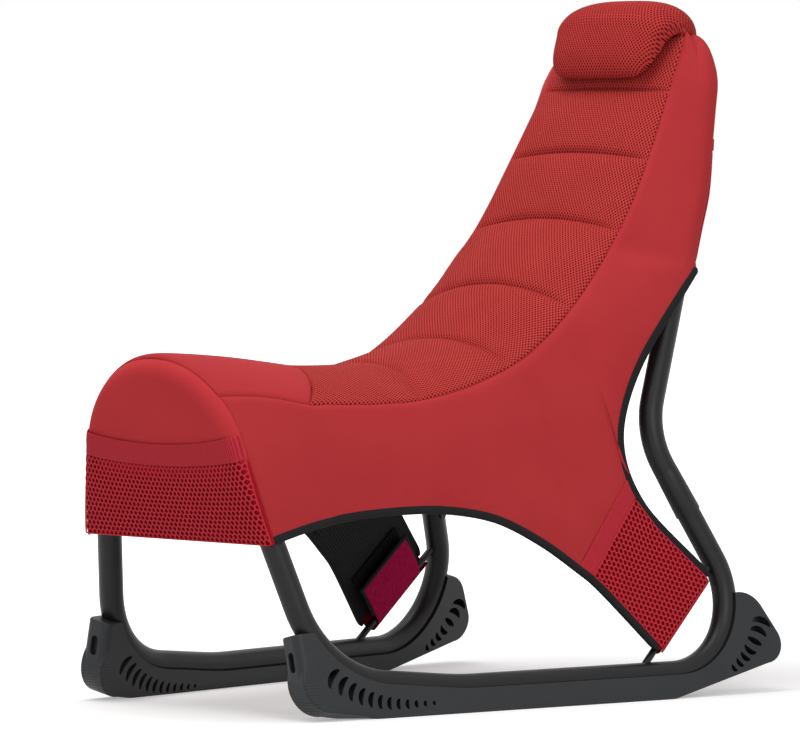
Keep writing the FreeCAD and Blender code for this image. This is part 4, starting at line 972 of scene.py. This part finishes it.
def cap_place(s, t):
    q = 1 - abs(2 * t - 1)
    centre, out, rise = cap_line(q)
    turn = (2 * s - 1) * CAP_ROUND
    point = centre + out * ((CAP_R + rise) * math.cos(turn)) + CAP_BEHIND * (CAP_R * math.sin(turn))
    return point if t < 0.5 else Vector((-point.x, point.y, point.z))


cap = cloth_grid("top_cap_cloth", 16, 72, cap_place, lambda s, t: (0.07 * s, 0.45 * t))
thicken(cap, 0.003)
wear(cap, stretch_cloth)
belongs(back_cloth, "back_panel")
belongs(back_net, "back_pocket_net")
belongs(back_band)
belongs(back_hem)
belongs(cap, "top_cap")


# Head pillow: a foam pillow in the same spacer mesh, folded over the top of the back like a saddle, full in
# front, narrower at its lower edge, with a thin flap behind. It lifts off.
# Rows: inner line (y, z), direction out of it (y, z), depth of the foam, half width, in mm
PILLOW = (
    (386.5, 872.0, -0.62, -0.78, 9.0, 84.0), (392.0, 881.0, -0.87, 0.15, 22.0, 98.0),
    (400.0, 895.0, -0.87, 0.42, 30.0, 106.0), (411.0, 914.0, -0.84, 0.54, 34.0, 111.0),
    (424.0, 930.0, -0.66, 0.75, 41.0, 118.0), (442.0, 935.0, -0.30, 0.95, 45.0, 124.0),
    (466.0, 932.0, 0.05, 1.0, 45.0, 114.0), (485.0, 922.0, 0.55, 0.83, 34.0, 96.0),
    (494.0, 906.0, 0.95, 0.30, 11.0, 86.0),
)
DROOP, DROOP_FROM, DROOP_REACH = 3.0, 84.0, 42.0       # the ends hang down over the shoulders of the back
DROOP_START, DROOP_GROWS = 0.6, 0.25                    # they start to hang at this share of its length
ROUND_POWER, PUFF_POWER, SKIN = 3.2, 0.55, 1.0         # roundness of its section, and the cloth's thickness
rows, around = 64, 40
ring = 2 * around
points, faces = [], []
for i in range(rows + 1):
    y, z, out_y, out_z, foam, half = smooth_row(PILLOW, (len(PILLOW) - 1) * i / rows)
    way = Vector((0, out_y, out_z)).normalized()
    hang = DROOP * min(1.0, max(0.0, (i / rows - DROOP_START) / DROOP_GROWS))
    for j in range(ring):
        s = -1 + 2 * j / around if j <= around else 1 - 2 * (j - around) / around
        puff = SKIN + foam * max(0.0, 1 - abs(s) ** ROUND_POWER) ** PUFF_POWER if 0 < j < around else 0.0
        low = hang * (max(0.0, abs(half * s) - DROOP_FROM) / DROOP_REACH) ** 2
        points.append((Vector((half * s, y, z - low)) + way * puff) * MM)
for i in range(rows):
    for j in range(ring):
        k = (j + 1) % ring
        faces.append([i * ring + j, i * ring + k, (i + 1) * ring + k, (i + 1) * ring + j])
faces.append(list(reversed(range(ring))))
faces.append([rows * ring + j for j in range(ring)])
mesh = bpy.data.meshes.new("mesh_pillow")
mesh.from_pydata(points, [], faces)
pillow = bpy.data.objects.new("mesh_pillow", mesh)
bpy.context.scene.collection.objects.link(pillow)
bpy.ops.object.select_all(action="DESELECT")
bpy.context.view_layer.objects.active = pillow
pillow.select_set(True)
bpy.ops.object.mode_set(mode="EDIT")
bpy.ops.mesh.select_all(action="SELECT")
bpy.ops.mesh.normals_make_consistent(inside=False)
bpy.ops.object.mode_set(mode="OBJECT")
voxels = pillow.modifiers.new("voxels", "REMESH")
VOXEL, SWELL_LIMIT, FRAMES = 0.0045, 0.005, 20
voxels.mode, voxels.voxel_size = "VOXEL", VOXEL
apply_all(pillow)
before = [v.co.copy() for v in pillow.data.vertices]
sewn = pillow.modifiers.new("sewn", "CLOTH")
sewn.settings.use_pressure = True
sewn.settings.uniform_pressure_force = 4.0
sewn.settings.effector_weights.gravity = 0.0
sewn.settings.tension_stiffness = sewn.settings.compression_stiffness = 25.0
sewn.settings.mass = 0.2
sewn.collision_settings.use_collision = False
for number in range(1, FRAMES + 1):
    bpy.context.scene.frame_set(number)
apply_all(pillow)
bpy.context.scene.frame_set(1)
for vertex, start in zip(pillow.data.vertices, before):
    move = vertex.co - start
    vertex.co = start + move * (min(1.0, SWELL_LIMIT / move.length) if move.length > 0 else 0.0)
relax = pillow.modifiers.new("relax", "SMOOTH")
relax.factor, relax.iterations = 0.5, 4
soft = pillow.modifiers.new("soft", "SUBSURF")
soft.levels = soft.render_levels = 1
apply_all(pillow)
# The mesh's rows are measured along the middle of the foam, and a little longer for its outer side
PROFILE_STEPS, PROFILE_DEPTH, OUTER_SIDE = 10, 0.6, 1.15
profile = []
for i in range((len(PILLOW) - 1) * PROFILE_STEPS + 1):
    y, z, out_y, out_z, foam, half = smooth_row(PILLOW, i / PROFILE_STEPS)
    profile.append(Vector((y, z)) + Vector((out_y, out_z)).normalized() * (PROFILE_DEPTH * foam))
run = [0.0]
for a, b in zip(profile, profile[1:]):
    run.append(run[-1] + (b - a).length * OUTER_SIDE * MM)
layer = pillow.data.uv_layers.new(name="UVMap")
spots = []
for vertex in pillow.data.vertices:
    here = Vector((vertex.co.y, vertex.co.z)) / MM
    best = (1e9, 0.0)
    for i, (a, b) in enumerate(zip(profile, profile[1:])):
        f = max(0.0, min(1.0, (here - a).dot(b - a) / (b - a).length_squared))
        best = min(best, ((a.lerp(b, f) - here).length, run[i] + (run[i + 1] - run[i]) * f))
    spots.append((vertex.co.x, best[1]))
for loop in pillow.data.loops:
    layer.data[loop.index].uv = spots[loop.vertex_index]
pillow_mesh = finish_named("knitted_spacer_mesh_pillow", Roughness=0.82, Specular_IOR_Level=0.06)
# The pillow's mesh is painted a little darker than the same mesh on the pad, as painted shade.
knit(pillow_mesh, "#b93a36", "#ad3331", "#5a0a0f")
wear(pillow, pillow_mesh)
belongs(pillow, "head_pillow", "head_pillow")
LIFT = Vector((0.0, 0.30071, 0.95372))
TAIL_TOP, TAIL_HALF, TAIL_LENGTH, TAIL_CORNER = Vector((0.0, 0.5005, 0.922)), 0.084, 0.097, 0.006


def tail_place(s, t):
    w = 1 - 2 * s
    corner = TAIL_CORNER * max(0.0, abs(w) - 0.9) / 0.1 * max(0.0, 0.2 - t) / 0.2
    return TAIL_TOP + Vector((w * TAIL_HALF, 0, 0)) - LIFT * (TAIL_LENGTH * (1 - t) - corner)


tail = cloth_grid("pillow_tail_cloth", 30, 16, tail_place, lambda s, t: (2 * TAIL_HALF * s, TAIL_LENGTH * t))
thicken(tail, 0.007)
wear(tail, pillow_mesh)
belongs(tail, "pillow_flap", "head_pillow")


# Studio: a pale floor that runs into a white surround, soft even light from above and a long lens at the
# photograph's low angle.
bpy.ops.object.select_all(action="DESELECT")
bpy.ops.mesh.primitive_plane_add(size=40)
floor = bpy.context.object
floor.name = "studio_floor"
WHITE = (1.0, 1.0, 1.0, 1.0)


def looked_at(owner):
    """1 for the rays that see a surface as it is: from the camera, in a reflection or through glass."""
    ray = add(owner, "ShaderNodeLightPath").outputs
    direct = calc(owner, "MAXIMUM", ray["Is Camera Ray"], ray["Is Glossy Ray"])
    return calc(owner, "MAXIMUM", direct, ray["Is Transmission Ray"])


floor_paint = finish_named("matt_white_floor", Roughness=0.9, Specular_IOR_Level=0.0, Base_Color=linear("#e6e6e6"),
                           Emission_Color=WHITE)
away = add(floor_paint, "ShaderNodeVectorMath", {0: lies_at(floor_paint)}, operation="LENGTH").outputs["Value"]
fade = add(floor_paint, "ShaderNodeMapRange", {0: away, 1: 0.6, 2: 2.4, 3: 0.34, 4: 1.0}).outputs[0]
feed(floor_paint, Emission_Strength=calc(floor_paint, "MULTIPLY", looked_at(floor_paint), fade))
wear(floor, floor_paint)

world = bpy.data.worlds.new("studio")
bpy.context.scene.world = world
world.use_nodes = True
lit = world.node_tree.nodes["Background"]
lit.inputs["Color"].default_value, lit.inputs["Strength"].default_value = WHITE, 0.52
white = add(world, "ShaderNodeBackground", {"Color": WHITE, "Strength": 1.0})
seen = add(world, "ShaderNodeMixShader", {0: looked_at(world), 1: lit.outputs[0], 2: white.outputs[0]})
world.node_tree.links.new(seen.outputs[0], world.node_tree.nodes["World Output"].inputs["Surface"])

for name, place, aim, size, power in (("top_softbox", (-0.3, -0.6, 3.2), (0, 0, 0.5), 2.6, 56.0),
                                      ("side_softbox", (3.2, -1.2, 1.9), (0, 0, 0.6), 2.2, 32.0)):
    lamp = bpy.data.lights.new(name, "AREA")
    lamp.shape, lamp.size, lamp.energy = "DISK", size, power
    stand = bpy.data.objects.new(name, lamp)
    bpy.context.scene.collection.objects.link(stand)
    stand.location = place
    stand.rotation_euler = (Vector(aim) - Vector(place)).to_track_quat("-Z", "Y").to_euler()

AZIMUTH, ELEVATION, DISTANCE = math.radians(46.3), math.radians(2.1), 8.70
TARGET = Vector((0.0, -0.01758, 0.461))
lens = bpy.data.cameras.new("photo_camera")
lens.lens, lens.sensor_width, lens.sensor_fit = 277.8, 36.0, "HORIZONTAL"
lens.clip_end = 100.0
camera = bpy.data.objects.new("photo_camera", lens)
bpy.context.scene.collection.objects.link(camera)
camera.location = TARGET + DISTANCE * Vector((math.sin(AZIMUTH) * math.cos(ELEVATION),
                                              -math.cos(AZIMUTH) * math.cos(ELEVATION), math.sin(ELEVATION)))
camera.rotation_euler = (TARGET - camera.location).to_track_quat("-Z", "Y").to_euler()
bpy.context.scene.camera = camera
bpy.context.scene.view_settings.view_transform = "Standard"
